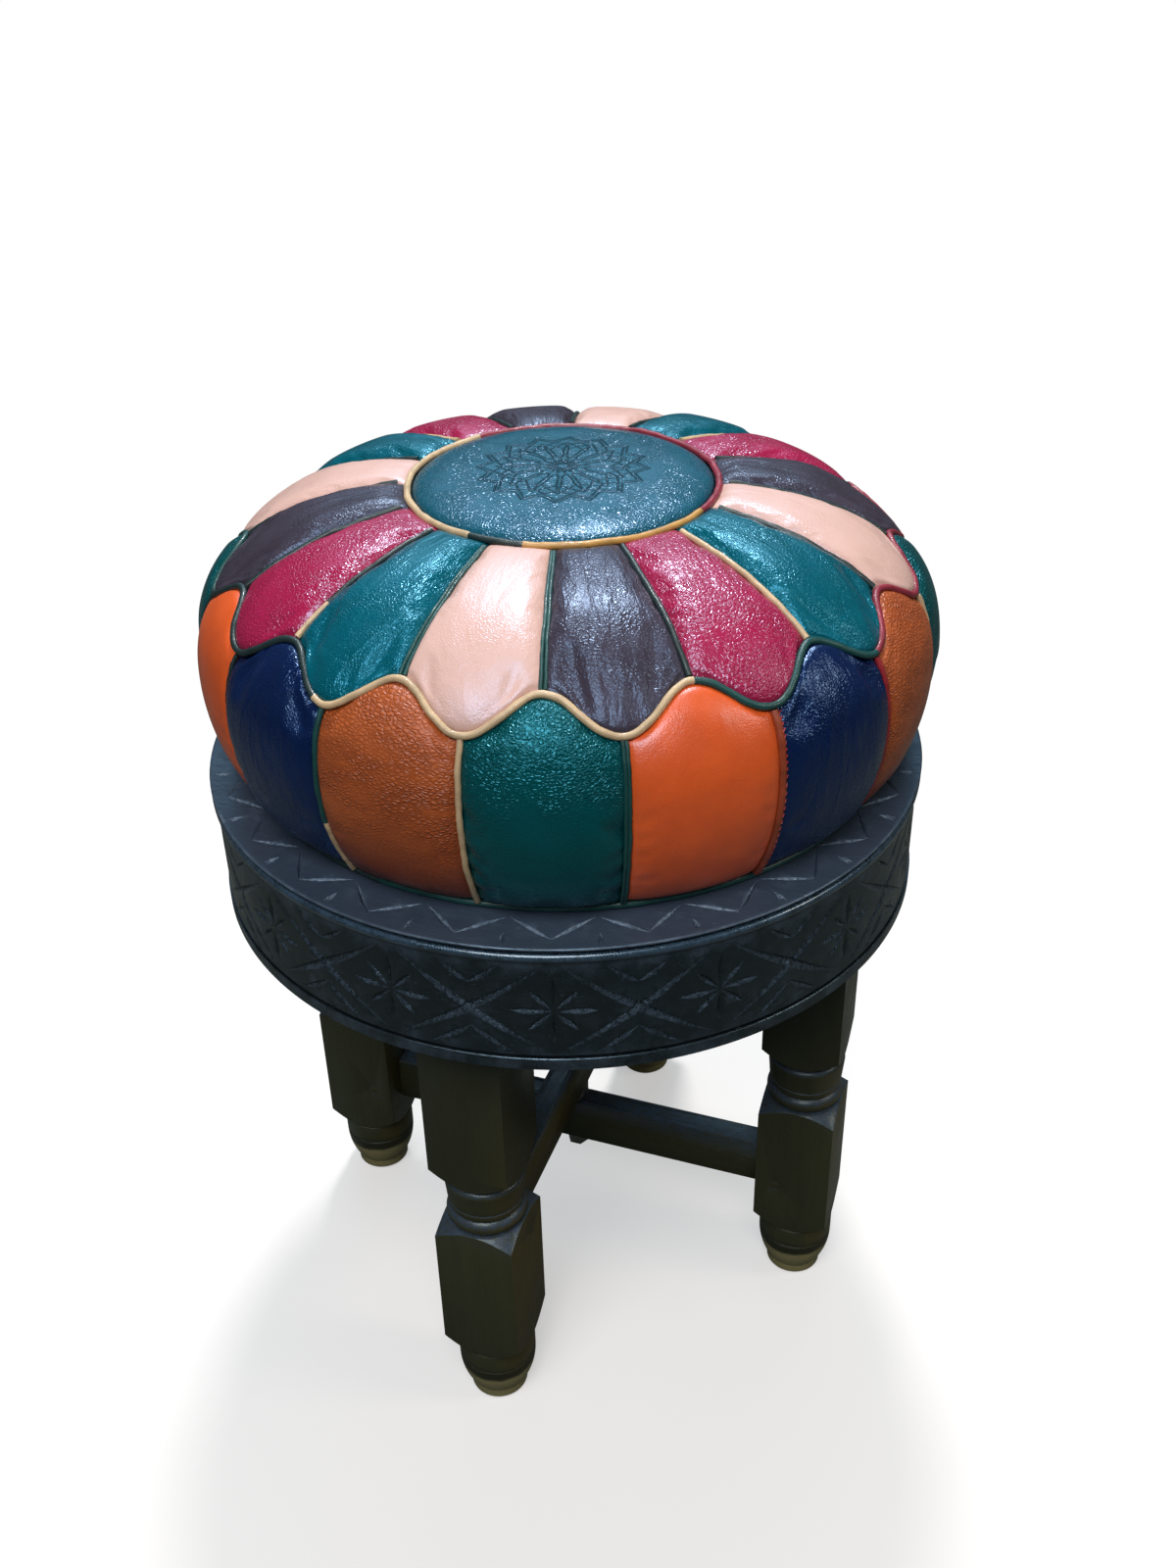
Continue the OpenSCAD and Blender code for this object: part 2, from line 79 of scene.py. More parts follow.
def addCamera():
    data = bpy.data.cameras.new("camera")
    data.lens = view["lens"]
    data.sensor_width = 36
    camera = link(bpy.data.objects.new("camera", data))
    turn = (Matrix.Rotation(math.radians(view["heading"]), 4, "Z")
            @ Matrix.Rotation(math.radians(90 - view["down"]), 4, "X")
            @ Matrix.Rotation(math.radians(view["roll"]), 4, "Z"))
    camera.matrix_world = Matrix.Translation(view["place"]) @ turn
    bpy.context.scene.camera = camera


def addLamps():
    middle = Vector(light["middle"])
    for count, (azimuth, up, distance, size, watts, colour) in enumerate(light["lamps"]):
        data = bpy.data.lights.new(f"lamp{count}", "AREA")
        data.shape = "DISK"
        data.size = size
        data.energy = watts
        data.color = colour
        lamp = link(bpy.data.objects.new(f"lamp{count}", data))
        a, e = math.radians(azimuth), math.radians(up)
        away = Vector((math.sin(a) * math.cos(e), -math.cos(a) * math.cos(e), math.sin(e)))
        lamp.matrix_world = (Matrix.Translation(middle + distance * away)
                             @ away.to_track_quat("Z", "Y").to_matrix().to_4x4())


# Shader tools

# Sets a node's inputs: a socket is linked, anything else is set as a constant
def feed(tree, node, inputs):
    for name, value in inputs.items():
        if isinstance(value, bpy.types.NodeSocket):
            tree.links.new(value, node.inputs[name])
        else:
            node.inputs[name].default_value = value
    return node


def add(tree, kind, inputs=None, **settings):
    node = tree.nodes.new("ShaderNode" + kind)
    for name, value in settings.items():
        setattr(node, name, value)
    return feed(tree, node, inputs or {})


def calc(tree, operation, a, b=0.0, clamp=False):
    return add(tree, "Math", {0: a, 1: b}, operation=operation, use_clamp=clamp).outputs[0]


def times(tree, a, b):
    return calc(tree, "MULTIPLY", a, b)


def vectorCalc(tree, operation, a, b=(0, 0, 0)):
    node = add(tree, "VectorMath", {0: a, 1: b}, operation=operation)
    return node.outputs["Value" if operation in ("DOT_PRODUCT", "LENGTH") else "Vector"]


def spread(tree, value, low, high, toLow=0.0, toHigh=1.0, smooth=False):
    kind = "SMOOTHSTEP" if smooth else "LINEAR"
    return add(tree, "MapRange", {"Value": value, "From Min": low, "From Max": high,
                                  "To Min": toLow, "To Max": toHigh},
               interpolation_type=kind).outputs[0]


def mixColour(tree, share, a, b, kind="MIX"):
    mix = add(tree, "Mix", {0: share, 6: a, 7: b}, data_type="RGBA", blend_type=kind)
    return mix.outputs[2]


def stretch(tree, vector, scale, turn=(0, 0, 0)):
    return add(tree, "Mapping", {"Vector": vector, "Scale": scale, "Rotation": turn}).outputs[0]


def noiseOf(tree, vector, scale, detail=2.0, roughness=0.5, warp=0.0):
    return add(tree, "TexNoise", {"Vector": vector, "Scale": scale, "Detail": detail,
                                  "Roughness": roughness, "Distortion": warp}).outputs["Fac"]


def bumpOf(tree, height, distance=mm):
    return add(tree, "Bump", {"Height": height, "Distance": distance}).outputs["Normal"]


def rgba(colour, gain=1.0):
    return (colour[0] * gain, colour[1] * gain, colour[2] * gain, 1.0)


def newGroup(name, inputs, outputs):
    tree = bpy.data.node_groups.new(name, "ShaderNodeTree")
    kinds = {"v": "NodeSocketVector", "f": "NodeSocketFloat", "c": "NodeSocketColor"}
    for label, kind, value in inputs:
        socket = tree.interface.new_socket(name=label, in_out="INPUT", socket_type=kinds[kind])
        if value is not None:
            socket.default_value = value
    for label, kind in outputs:
        tree.interface.new_socket(name=label, in_out="OUTPUT", socket_type=kinds[kind])
    return tree, tree.nodes.new("NodeGroupInput").outputs, tree.nodes.new("NodeGroupOutput")


def useGroup(tree, group, inputs):
    return add(tree, "Group", inputs, node_tree=group).outputs


# A material with its tree, its shader and the place on the piece
def newMaterial(name):
    material = bpy.data.materials.new(name)
    material.use_nodes = True
    tree = material.node_tree
    place = add(tree, "TexCoord").outputs["Object"]
    return material, tree, tree.nodes["Principled BSDF"], place


# Pebbles with fine pores between them, height in millimetres
def makeGrainGroup():
    tree, given, end = newGroup(
        "leather grain",
        [("Vector", "v", None), ("Size", "f", 1.6), ("Depth", "f", 0.1), ("Pores", "f", 0.02)],
        [("Height", "f"), ("Valley", "f")])
    place = given["Vector"]
    wander = add(tree, "TexNoise", {"Vector": place, "Scale": 260.0, "Detail": 2.0})
    warped = vectorCalc(tree, "MULTIPLY", wander.outputs["Color"], (0.0011, 0.0011, 0.0011))
    warped = vectorCalc(tree, "ADD", place, warped)
    scale = calc(tree, "DIVIDE", 1000.0, given["Size"])
    cells = add(tree, "TexVoronoi", {"Vector": warped, "Scale": scale},
                feature="DISTANCE_TO_EDGE").outputs["Distance"]
    dome = spread(tree, cells, 0.0, 0.34, smooth=True)
    patch = spread(tree, noiseOf(tree, place, 45.0, 2.0), 0.32, 0.62, 0.35, 1.0)
    pebble = times(tree, times(tree, dome, patch), given["Depth"])
    pores = times(tree, noiseOf(tree, place, 2300.0, 1.0), given["Pores"])
    feed(tree, end, {"Height": calc(tree, "ADD", pebble, pores),
                     "Valley": times(tree, calc(tree, "SUBTRACT", 1.0, dome), patch)})
    return tree


# Crumpled folds in the panel's own map, so many across and along it, height in millimetres
def makeCreaseGroup():
    tree, given, end = newGroup(
        "leather creases",
        [("Map", "v", None), ("Across", "f", 5.0), ("Along", "f", 4.0), ("Lean", "f", 0.0),
         ("Depth", "f", 0.4)],
        [("Height", "f")])
    lean = add(tree, "CombineXYZ", {"Z": given["Lean"]}).outputs[0]
    scale = add(tree, "CombineXYZ",
                {"X": given["Across"], "Y": given["Along"], "Z": 1.0}).outputs[0]
    turned = add(tree, "Mapping", {"Vector": given["Map"], "Rotation": lean}).outputs[0]
    cells = vectorCalc(tree, "MULTIPLY", turned, scale)
    wander = add(tree, "TexNoise", {"Vector": cells, "Scale": 1.3, "Detail": 3.0}).outputs["Color"]
    wander = vectorCalc(tree, "MULTIPLY", wander, (0.9, 0.9, 0.0))
    warped = vectorCalc(tree, "ADD", cells, wander)
    facets = add(tree, "TexVoronoi", {"Vector": warped, "Scale": 1.0, "Smoothness": 0.35},
                 feature="SMOOTH_F1").outputs["Distance"]
    waves = noiseOf(tree, warped, 1.7, 3.0, 0.5, 0.4)
    height = calc(tree, "ADD", times(tree, facets, -0.9), waves)
    feed(tree, end, {"Height": times(tree, height, given["Depth"])})
    return tree


# Long wood fibres along X of the vector, with open pores
def makeWoodGroup():
    tree, given, end = newGroup("wood fibres", [("Vector", "v", None), ("Depth", "f", 0.08)],
                                [("Height", "f"), ("Tone", "f")])
    place = given["Vector"]
    broad = noiseOf(tree, stretch(tree, place, (9, 130, 130)), 1.0, 3.0, 0.55, 0.4)
    fine = noiseOf(tree, stretch(tree, place, (40, 900, 900)), 1.0, 2.0, 0.6)
    pores = noiseOf(tree, stretch(tree, place, (110, 2200, 2200)), 1.0, 1.0)
    pores = spread(tree, pores, 0.60, 0.72)
    height = calc(tree, "ADD", times(tree, broad, 1.2), fine)
    height = calc(tree, "SUBTRACT", height, times(tree, pores, 0.8))
    tone = calc(tree, "ADD", times(tree, broad, 0.6), times(tree, fine, 0.4))
    feed(tree, end, {"Height": times(tree, height, given["Depth"]), "Tone": tone})
    return tree


# Where an arris is rubbed bare and painted with a glint: sharp edges, broken up by noise
def makeWearAndGlintGroup():
    tree, given, end = newGroup(
        "edge wear and glint", [("Vector", "v", None), ("Low", "f", 0.51), ("High", "f", 0.56)],
        [("Mask", "f")])
    sharp = tree.nodes.new("ShaderNodeNewGeometry").outputs["Pointiness"]
    edge = spread(tree, sharp, given["Low"], given["High"])
    patch = spread(tree, noiseOf(tree, given["Vector"], 70.0, 4.0, 0.65), 0.38, 0.66)
    feed(tree, end, {"Mask": times(tree, edge, patch)})
    return tree


# Strokes of half a ray of the tooled rosette, in millimetres along the ray's axis and aside
rosette = {
    "rays": 16,
    "turn": 4.0,              # degrees that a ray's axis stands from the front
    "middle": (0, 8 * mm, 0),
    "lineW": 0.8,             # half a line's width
    "depth": 0.6,
    "strokes": [(3.2, 0, 5.6, 1.1), (5.6, 1.1, 10, 0), (12, 0, 14.5, 1.9), (14.5, 1.9, 26.5, 4.0),
                (26.5, 4.0, 30.5, 0), (26.5, 4.0, 32.6, 6.48), (30.5, 0, 36.4, 7.24),
                (32.6, 6.48, 38.0, 0), (38.0, 0, 41.0, 4.4), (41.0, 4.4, 44.6, 8.87),
                (40.8, 0, 43.4, 4.0), (43.4, 4.0, 47.2, 9.39)],
}


# How far a point lies from a stroke, from a to b
def makeStrokeGroup():
    tree, given, end = newGroup("tooled stroke", [("Point", "v", None), ("A", "v", None),
                                                  ("B", "v", None), ("Before", "f", 9.0)],
                                [("Distance", "f")])
    fromA = vectorCalc(tree, "SUBTRACT", given["Point"], given["A"])
    way = vectorCalc(tree, "SUBTRACT", given["B"], given["A"])
    along = vectorCalc(tree, "DOT_PRODUCT", fromA, way)
    square = vectorCalc(tree, "DOT_PRODUCT", way, way)
    share = calc(tree, "DIVIDE", along, square, clamp=True)
    foot = add(tree, "VectorMath", {0: way, "Scale": share}, operation="SCALE").outputs[0]
    away = vectorCalc(tree, "LENGTH", vectorCalc(tree, "SUBTRACT", fromA, foot))
    feed(tree, end, {"Distance": calc(tree, "MINIMUM", away, given["Before"])})
    return tree


# The rosette's pressed lines, 1 in their middle: a wedge is folded in half and turned round
def makeRosetteGroup():
    stroke = makeStrokeGroup()
    tree, given, end = newGroup("tooled rosette", [("Vector", "v", None)], [("Lines", "f")])
    place = vectorCalc(tree, "SUBTRACT", given["Vector"], rosette["middle"])
    axes = add(tree, "SeparateXYZ", {0: place})
    x, y = axes.outputs["X"], axes.outputs["Y"]
    radius = calc(tree, "SQRT", calc(tree, "ADD", times(tree, x, x),
                                     times(tree, y, y)))
    wedge = 2 * math.pi / rosette["rays"]
    turn = calc(tree, "ARCTAN2", x, times(tree, y, -1.0))
    turn = calc(tree, "ADD", turn, wedge / 2 + 8 * math.pi - math.radians(rosette["turn"]))
    folded = calc(tree, "SUBTRACT", calc(tree, "MODULO", turn, wedge), wedge / 2)
    folded = calc(tree, "ABSOLUTE", folded)
    radius = times(tree, radius, 1000.0)
    point = add(tree, "CombineXYZ", {
        "X": times(tree, radius, calc(tree, "COSINE", folded)),
        "Y": times(tree, radius, calc(tree, "SINE", folded))}).outputs[0]
    distance = 9.0
    for x0, y0, x1, y1 in rosette["strokes"]:
        distance = useGroup(tree, stroke, {"Point": point, "A": (x0, y0, 0), "B": (x1, y1, 0),
                                           "Before": distance})["Distance"]
    feed(tree, end, {"Lines": spread(tree, distance, 0.1, rosette["lineW"], 1.0, 0.0, smooth=True)})
    return tree


groups = {
    "rosette": makeRosetteGroup(),
    "grain": makeGrainGroup(),
    "creases": makeCreaseGroup(),
    "wood": makeWoodGroup(),
    "wearAndGlint": makeWearAndGlintGroup(),
}

# Every leather: its colour, the darker colour of its mottle, its tooled lines and its painted shade
# near the seams, in the grain's valleys and low down, its pebbles (size, depth) and its creases
# (across, along, lean, depth)
leathers = {
    "peach": dict(colour=(0.67, 0.430, 0.365), deep=(0.57, 0.31, 0.24), grain=(1.6, 0.08),
                  creases=(3.0, 3.0, 0.25, 0.6), mottle=0.35, rough=0.32),
    "taupe": dict(colour=(0.058, 0.045, 0.066), deep=(0.024, 0.016, 0.021), grain=(1.8, 0.14),
                  creases=(5.0, 3.0, 0.2, 1.2), mottle=0.7, rough=0.30, gloss=0.6),
    "maroon": dict(colour=(0.38, 0.009, 0.066), deep=(0.24, 0.004, 0.030), grain=(2.0, 0.30),
                   creases=(4.0, 3.0, 0.35, 0.6), mottle=0.4, rough=0.25, gloss=1.0,
                   sheen=(0.6, 0.75, 1.0)),
    "tealPetal": dict(colour=(0.0003, 0.100, 0.140), deep=(0.0002, 0.048, 0.064),
                      grain=(1.7, 0.18), creases=(4.0, 2.5, 0.5, 1.2), mottle=0.45, rough=0.27,
                      sheen=(0.15, 0.68, 1.0)),
    "tealSide": dict(colour=(0.0002, 0.064, 0.070), deep=(0.0001, 0.036, 0.038),
                     grain=(2.2, 0.40), flat=1.4, creases=(6.0, 14.0, 0.1, 0.6), mottle=0.35,
                     rough=0.27, fade=(0.25, 0.75), sheen=(0.15, 0.75, 1.0)),
    "orange": dict(colour=(0.84, 0.118, 0.016), deep=(0.52, 0.066, 0.008), grain=(1.6, 0.06),
                   creases=(2.0, 2.0, 0.6, 0.6), mottle=0.7, rough=0.33, sheen=(0.7, 0.85, 1.0)),
    "navy": dict(colour=(0.0010, 0.0095, 0.060), deep=(0.0005, 0.0045, 0.028), grain=(1.7, 0.14),
                 creases=(6.0, 2.5, 0.1, 1.2), mottle=0.4, rough=0.25, gloss=1.0,
                 sheen=(0.35, 0.58, 1.0)),
    "tan": dict(colour=(0.50, 0.112, 0.026), deep=(0.18, 0.032, 0.008), grain=(3.2, 0.42),
                flat=2.2, creases=(5.0, 26.0, 0.0, 0.25), mottle=0.45, rough=0.36,
                fade=(0.15, 0.55), shadeBelow=0.95, sheen=(0.50, 0.42, 0.42)),
    "medallion": dict(colour=(0.004, 0.088, 0.134), deep=(0.002, 0.034, 0.050),
                      grain=(1.6, 0.20), creases=(2.0, 3.0, 0.4, 0.9), mottle=0.3, rough=0.21),
    "base": dict(colour=(0.075, 0.062, 0.068), deep=(0.03, 0.024, 0.026), grain=(1.8, 0.12),
                 creases=(3.0, 3.0, 0.4, 0.3), mottle=0.5, rough=0.5),
}
pipings = {
    "beige": (0.60, 0.42, 0.24), "teal": (0.006, 0.062, 0.058), "maroon": (0.27, 0.022, 0.042),
    "mustard": (0.52, 0.27, 0.065), "rust": (0.33, 0.055, 0.018), "crimson": (0.33, 0.016, 0.022),
    "dark": (0.012, 0.028, 0.028),
}


def leatherMaterial(name, look, tooled=False):
    material, tree, shader, place = newMaterial("leather " + name)
    ownMap = add(tree, "UVMap", uv_map="panel").outputs["UV"]
    across, along, lean, creaseDepth = look["creases"]
    size, pebbleDepth = look["grain"]
    grainDepth = pebbleDepth
    if "fade" in look:
        up = add(tree, "SeparateXYZ", {0: ownMap}).outputs["Y"]
        shown = spread(tree, up, *look["fade"], 0.12, 1.0, smooth=True)
        grainDepth = times(tree, shown, pebbleDepth)
        creaseDepth = times(tree, shown, creaseDepth)
    pressed = stretch(tree, place, (1, 1, look.get("flat", 1.0)))
    grain = useGroup(tree, groups["grain"], {"Vector": pressed, "Size": size, "Depth": grainDepth,
                                             "Pores": 0.012})
    creases = useGroup(tree, groups["creases"], {"Map": ownMap, "Across": across, "Along": along,
                                                 "Lean": lean, "Depth": creaseDepth})
    height = calc(tree, "ADD", grain["Height"], creases["Height"])
    if tooled:
        lines = useGroup(tree, groups["rosette"], {"Vector": place})["Lines"]
        height = calc(tree, "SUBTRACT", height, times(tree, lines, rosette["depth"]))
    cloud = spread(tree, noiseOf(tree, place, 24.0, 4.0, 0.6), 0.30, 0.72, 0.0, look["mottle"])
    # the random mottle, and near the seams a darker colour that is partly dye and partly painted
    # shade
    seam = add(tree, "Attribute", attribute_name="seam").outputs["Fac"]
    mottleAndSeamShade = calc(tree, "MAXIMUM", cloud, times(tree, calc(tree, "POWER", seam, 2.0), 0.8))
    tint = mixColour(tree, mottleAndSeamShade, rgba(look["colour"]), rgba(look["deep"]))
    # painted shade: the valleys between the pebbles take the darker colour
    valleyShade = times(tree, grain["Valley"], min(0.6, 3.0 * pebbleDepth))
    tint = mixColour(tree, valleyShade, tint, rgba(look["deep"]))
    # painted shade: the panel darkens towards its bottom
    if "shadeBelow" in look:
        low = spread(tree, up, 0.05, 0.50, look["shadeBelow"], 0.0, smooth=True)
        tint = mixColour(tree, low, tint, rgba(look["deep"]))
    if tooled:
        tint = mixColour(tree, times(tree, lines, 0.8), tint, rgba(look["deep"], 0.4))
    rough = spread(tree, noiseOf(tree, place, 60.0, 3.0), 0.3, 0.7,
                   look["rough"] - 0.05, look["rough"] + 0.08)
    feed(tree, shader, {"Base Color": tint, "Roughness": rough, "Normal": bumpOf(tree, height),
                        "Specular IOR Level": look.get("gloss", 0.85),
                        "Specular Tint": rgba(look.get("sheen", (0.45, 0.66, 1.0)))})
    return material


def pipingMaterial(name, colour):
    material, tree, shader, place = newMaterial("piping " + name)
    grain = useGroup(tree, groups["grain"], {"Vector": place, "Size": 1.0, "Depth": 0.07,
                                             "Pores": 0.02})
    grime = spread(tree, noiseOf(tree, place, 85.0, 4.0, 0.65), 0.34, 0.74, 0.0, 0.7)
    tint = mixColour(tree, grime, rgba(colour), rgba(colour, 0.42))
    feed(tree, shader, {"Base Color": tint, "Roughness": 0.42, "Coat Weight": 0.12,
                        "Normal": bumpOf(tree, grain["Height"])})
    return material


# Each wood: its colour, the brown of its streaks (also painted on faces that look right, as warmer
# light), the colour of its worn arrises and of its painted glints, the foot tips that show on it,
# the way its painted light comes from, and its painted bluish sheen on faces that look up
woods = {
    "carved": dict(colour=(0.0048, 0.0068, 0.0080), brown=(0.012, 0.009, 0.006),
                   bareAndGlint=(0.036, 0.050, 0.070), rough=(0.20, 0.38),
                   towards=(0, 0, 1)),
    # painted light: the same black wood as the hoop's, made lighter and bluer on the board's top
    "board": dict(colour=(0.040, 0.056, 0.085), brown=(0.034, 0.030, 0.030),
                  bareAndGlint=(0.15, 0.19, 0.25), rough=(0.26, 0.44),
                  towards=(0.3, -0.95, 0)),
    # painted glint: the same black wood, made lighter and bluer on the bead
    "bead": dict(colour=(0.008, 0.016, 0.025), brown=(0.010, 0.011, 0.012),
                 bareAndGlint=(0.045, 0.080, 0.125), rough=(0.13, 0.24),
                 towards=(0, 0, 1), coat=0.8),
    "plain": dict(colour=(0.040, 0.041, 0.0185), brown=(0.070, 0.052, 0.012),
                  bareAndGlint=(0.075, 0.066, 0.038), tip=(0.30, 0.255, 0.115), rough=(0.26, 0.44),
                  sheen=(0.040, 0.062, 0.098)),
}


# grainAxis is the way the fibres run; a carved piece has its cuts in the attribute "cut"
def woodMaterial(name, look, grainAxis, browning, carved=False, tips=False, worn=0.0):
    material, tree, shader, place = newMaterial("wood " + name)
    turns = {"x": (0, 0, 0), "y": (0, 0, math.pi / 2), "z": (0, math.pi / 2, 0)}
    along = stretch(tree, place, (1, 1, 1), turns[grainAxis])
    fibres = useGroup(tree, groups["wood"], {"Vector": along, "Depth": 0.10})
    height = fibres["Height"]
    streaks = noiseOf(tree, stretch(tree, along, (5, 24, 24)), 1.0, 4.0, 0.6, 0.3)
    brown = spread(tree, streaks, 0.40, 0.80, 0.0, browning)
    tint = mixColour(tree, brown, rgba(look["colour"]), rgba(look["brown"]))
    tone = spread(tree, fibres["Tone"], 0.30, 0.70, 0.0, 0.35)
    tint = mixColour(tree, tone, tint, rgba(look["colour"], 0.45))
    if not carved:
        facing = add(tree, "SeparateXYZ", {0: add(tree, "TexCoord").outputs["Normal"]})
        # painted light: faces that look to the right take the brown, as warmer light from that side
        tint = mixColour(tree, spread(tree, facing.outputs["X"], 0.3, 0.9, 0.0, 0.75), tint,
                         rgba(look["brown"]))
        # painted sheen: faces that look up, above the sheen's height, take a bluish colour, broken
        # up by saw marks
        sawn = spread(tree, noiseOf(tree, place, 300.0, 2.0), 0.35, 0.65, 0.4, 1.0)
        up = add(tree, "SeparateXYZ", {0: place}).outputs["Z"]
        paintedSheen = times(tree, spread(tree, facing.outputs["Z"], 0.15, 0.55), sawn)
        paintedSheen = times(tree, paintedSheen, spread(tree, up, *stand["sheenFrom"]))
        tint = mixColour(tree, paintedSheen, tint, rgba(look["sheen"]))
    if tips:
        tipTop = stand["tipTop"]
        # painted shade: the legs darken upwards, under the hoop
        shadeUnderHoop = spread(tree, up, *stand["shadeUnderHoop"], 0.0, 0.5, smooth=True)
        tint = mixColour(tree, shadeUnderHoop, tint, rgba(look["colour"], 0.3))
        edge = calc(tree, "ADD", up, times(tree, noiseOf(tree, place, 90.0), 4 * mm))
        ring = spread(tree, edge, tipTop + 9 * mm, tipTop + 13 * mm, 0.75, 0.0)
        tint = mixColour(tree, ring, tint, rgba(look["colour"], 0.3))
        tip = spread(tree, edge, tipTop, tipTop + 3 * mm, 0.9, 0.0)
        tint = mixColour(tree, tip, tint, rgba(look["tip"]))
    rough = spread(tree, noiseOf(tree, place, 40.0, 4.0, 0.6), 0.3, 0.7, *look["rough"])
    if carved:
        cut = add(tree, "Attribute", attribute_name="cut").outputs["Fac"]
        chatter = noiseOf(tree, stretch(tree, place, (620, 620, 620)), 1.0, 3.0, 0.7)
        chips = times(tree, times(tree, chatter, cut), 1.3)
        height = calc(tree, "ADD", height, chips)
        # painted light on the cut walls: walls that face away from the look's light direction take
        # a painted shade, and walls that face it take the pale colour as speckled painted glints
        facing = add(tree, "TexCoord").outputs["Normal"]
        facing = vectorCalc(tree, "DOT_PRODUCT", facing, look["towards"])
        inside = spread(tree, cut, 0.0, 0.10)
        dark = times(tree, inside, spread(tree, facing, -0.05, -0.30, 0.0, 0.9))
        tint = mixColour(tree, dark, tint, rgba(look["colour"], 0.22))
        pale = times(tree, inside, spread(tree, facing, 0.10, 0.45))
        speckle = spread(tree, noiseOf(tree, place, 420.0, 2.0), 0.36, 0.62, 0.15, 1.0)
        tint = mixColour(tree, times(tree, pale, speckle), tint, rgba(look["bareAndGlint"]))
        rough = calc(tree, "SUBTRACT", rough, times(tree, cut, 0.08))
        # the sharp arrises take the pale colour: partly wear, partly painted glints
        wearAndGlint = useGroup(tree, groups["wearAndGlint"], {"Vector": place})["Mask"]
        tint = mixColour(tree, times(tree, wearAndGlint, 0.8), tint, rgba(look["bareAndGlint"]))
    if worn:
        patches = spread(tree, noiseOf(tree, place, 70.0, 4.0, 0.65), 0.40, 0.62, 0.0, worn)
        tint = mixColour(tree, patches, tint, rgba(look["bareAndGlint"]))
    gloss, sheen = (0.8, (0.55, 0.80, 1.0)) if carved else (0.5, (0.8, 0.9, 0.9))
    feed(tree, shader, {"Base Color": tint, "Roughness": rough, "Normal": bumpOf(tree, height),
                        "Specular IOR Level": gloss, "Specular Tint": rgba(sheen),
                        "Coat Weight": look.get("coat", 0.0), "Coat Roughness": 0.15})
    return material


def steelMaterial():
    material, tree, shader, place = newMaterial("pivot steel")
    dull = spread(tree, noiseOf(tree, place, 180.0, 4.0, 0.6), 0.35, 0.7)
    tint = mixColour(tree, dull, (0.42, 0.42, 0.43, 1), (0.20, 0.17, 0.14, 1))
    brushed = noiseOf(tree, stretch(tree, place, (300, 300, 2600)), 1.0, 2.0)
    feed(tree, shader, {"Base Color": tint, "Roughness": spread(tree, dull, 0, 1, 0.30, 0.62),
                        "Metallic": 1.0, "Normal": bumpOf(tree, brushed, 0.04 * mm)})
    return material


# A plain weave for the stuffing's calico bag and the zip's tape
def weaveMaterial(name, colour, pitch):
    material, tree, shader, place = newMaterial(name)
    axes = add(tree, "SeparateXYZ", {0: place})
    turn = 2 * math.pi / pitch
    warp = calc(tree, "SINE", times(tree, axes.outputs["X"], turn))
    weft = calc(tree, "SINE", times(tree, axes.outputs["Y"], turn))
    threads = times(tree, warp, weft)
    tint = mixColour(tree, spread(tree, threads, -1, 1), rgba(colour), rgba(colour, 0.72))
    feed(tree, shader, {"Base Color": tint, "Roughness": 0.85,
                        "Normal": bumpOf(tree, threads, pitch * 0.2)})
    return material


def floorMaterial():
    material, tree, shader, place = newMaterial("pale floor")
    seen = add(tree, "LightPath").outputs["Is Camera Ray"]
    speckle = mixColour(tree, noiseOf(tree, place, 6.0, 3.0), rgba(light["floor"]),
                        rgba(light["floor"], 0.985))
    feed(tree, shader, {"Base Color": mixColour(tree, seen, rgba(light["floorUnder"]), speckle),
                        "Roughness": 0.9, "Specular IOR Level": 0.1})
    far = vectorCalc(tree, "LENGTH", place)
    fade = times(tree, spread(tree, far, *light["fade"], 0.45, 1.0, smooth=True), seen)
    white = add(tree, "Emission", {"Color": (1, 1, 1, 1), "Strength": 1.0})
    both = add(tree, "MixShader", {0: fade, 1: shader.outputs[0], 2: white.outputs[0]})
    feed(tree, tree.nodes["Material Output"], {"Surface": both.outputs[0]})
    return material


def addStage():
    world = bpy.data.worlds.new("studio")
    world.use_nodes = True
    tree = world.node_tree
    white = add(tree, "LightPath").outputs["Is Camera Ray"]
    feed(tree, tree.nodes["Background"], {
        "Color": mixColour(tree, white, rgba(light["worldColour"]), (1, 1, 1, 1)),
        "Strength": spread(tree, white, 0, 1, light["world"], 1.0)})
    bpy.context.scene.world = world
    bm = bmesh.new()
    bmesh.ops.create_grid(bm, x_segments=2, y_segments=2, size=light["floorSize"] / 2)
    newPiece("floor", bm, floorMaterial())


# Mesh tools

def roundOff(mesh):
    mesh.polygons.foreach_set("use_smooth", [True] * len(mesh.polygons))


def mergeNear(bm, distance):
    bmesh.ops.remove_doubles(bm, verts=bm.verts[:], dist=distance)


def everything(bm):
    return bm.verts[:] + bm.edges[:] + bm.faces[:]


def turnOutwards(bm):
    bmesh.ops.recalc_face_normals(bm, faces=bm.faces[:])


def spin(bm, geom, angle, steps, copies=False):
    bmesh.ops.spin(bm, geom=geom, cent=(0, 0, 0), axis=(0, 0, 1), dvec=(0, 0, 0), angle=angle,
                   steps=steps, use_duplicate=copies)


def newPiece(name, bm, *materials, smooth=None):
    mesh = bpy.data.meshes.new(name)
    bm.to_mesh(mesh)
    bm.free()
    for material in materials:
        mesh.materials.append(material)
    if smooth is not None:
        roundOff(mesh)
        mesh.set_sharp_from_angle(angle=math.radians(smooth))
    return link(bpy.data.objects.new(name, mesh))


def place(piece, body, slotName, replaced):
    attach(piece, body)
    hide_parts(replaced)


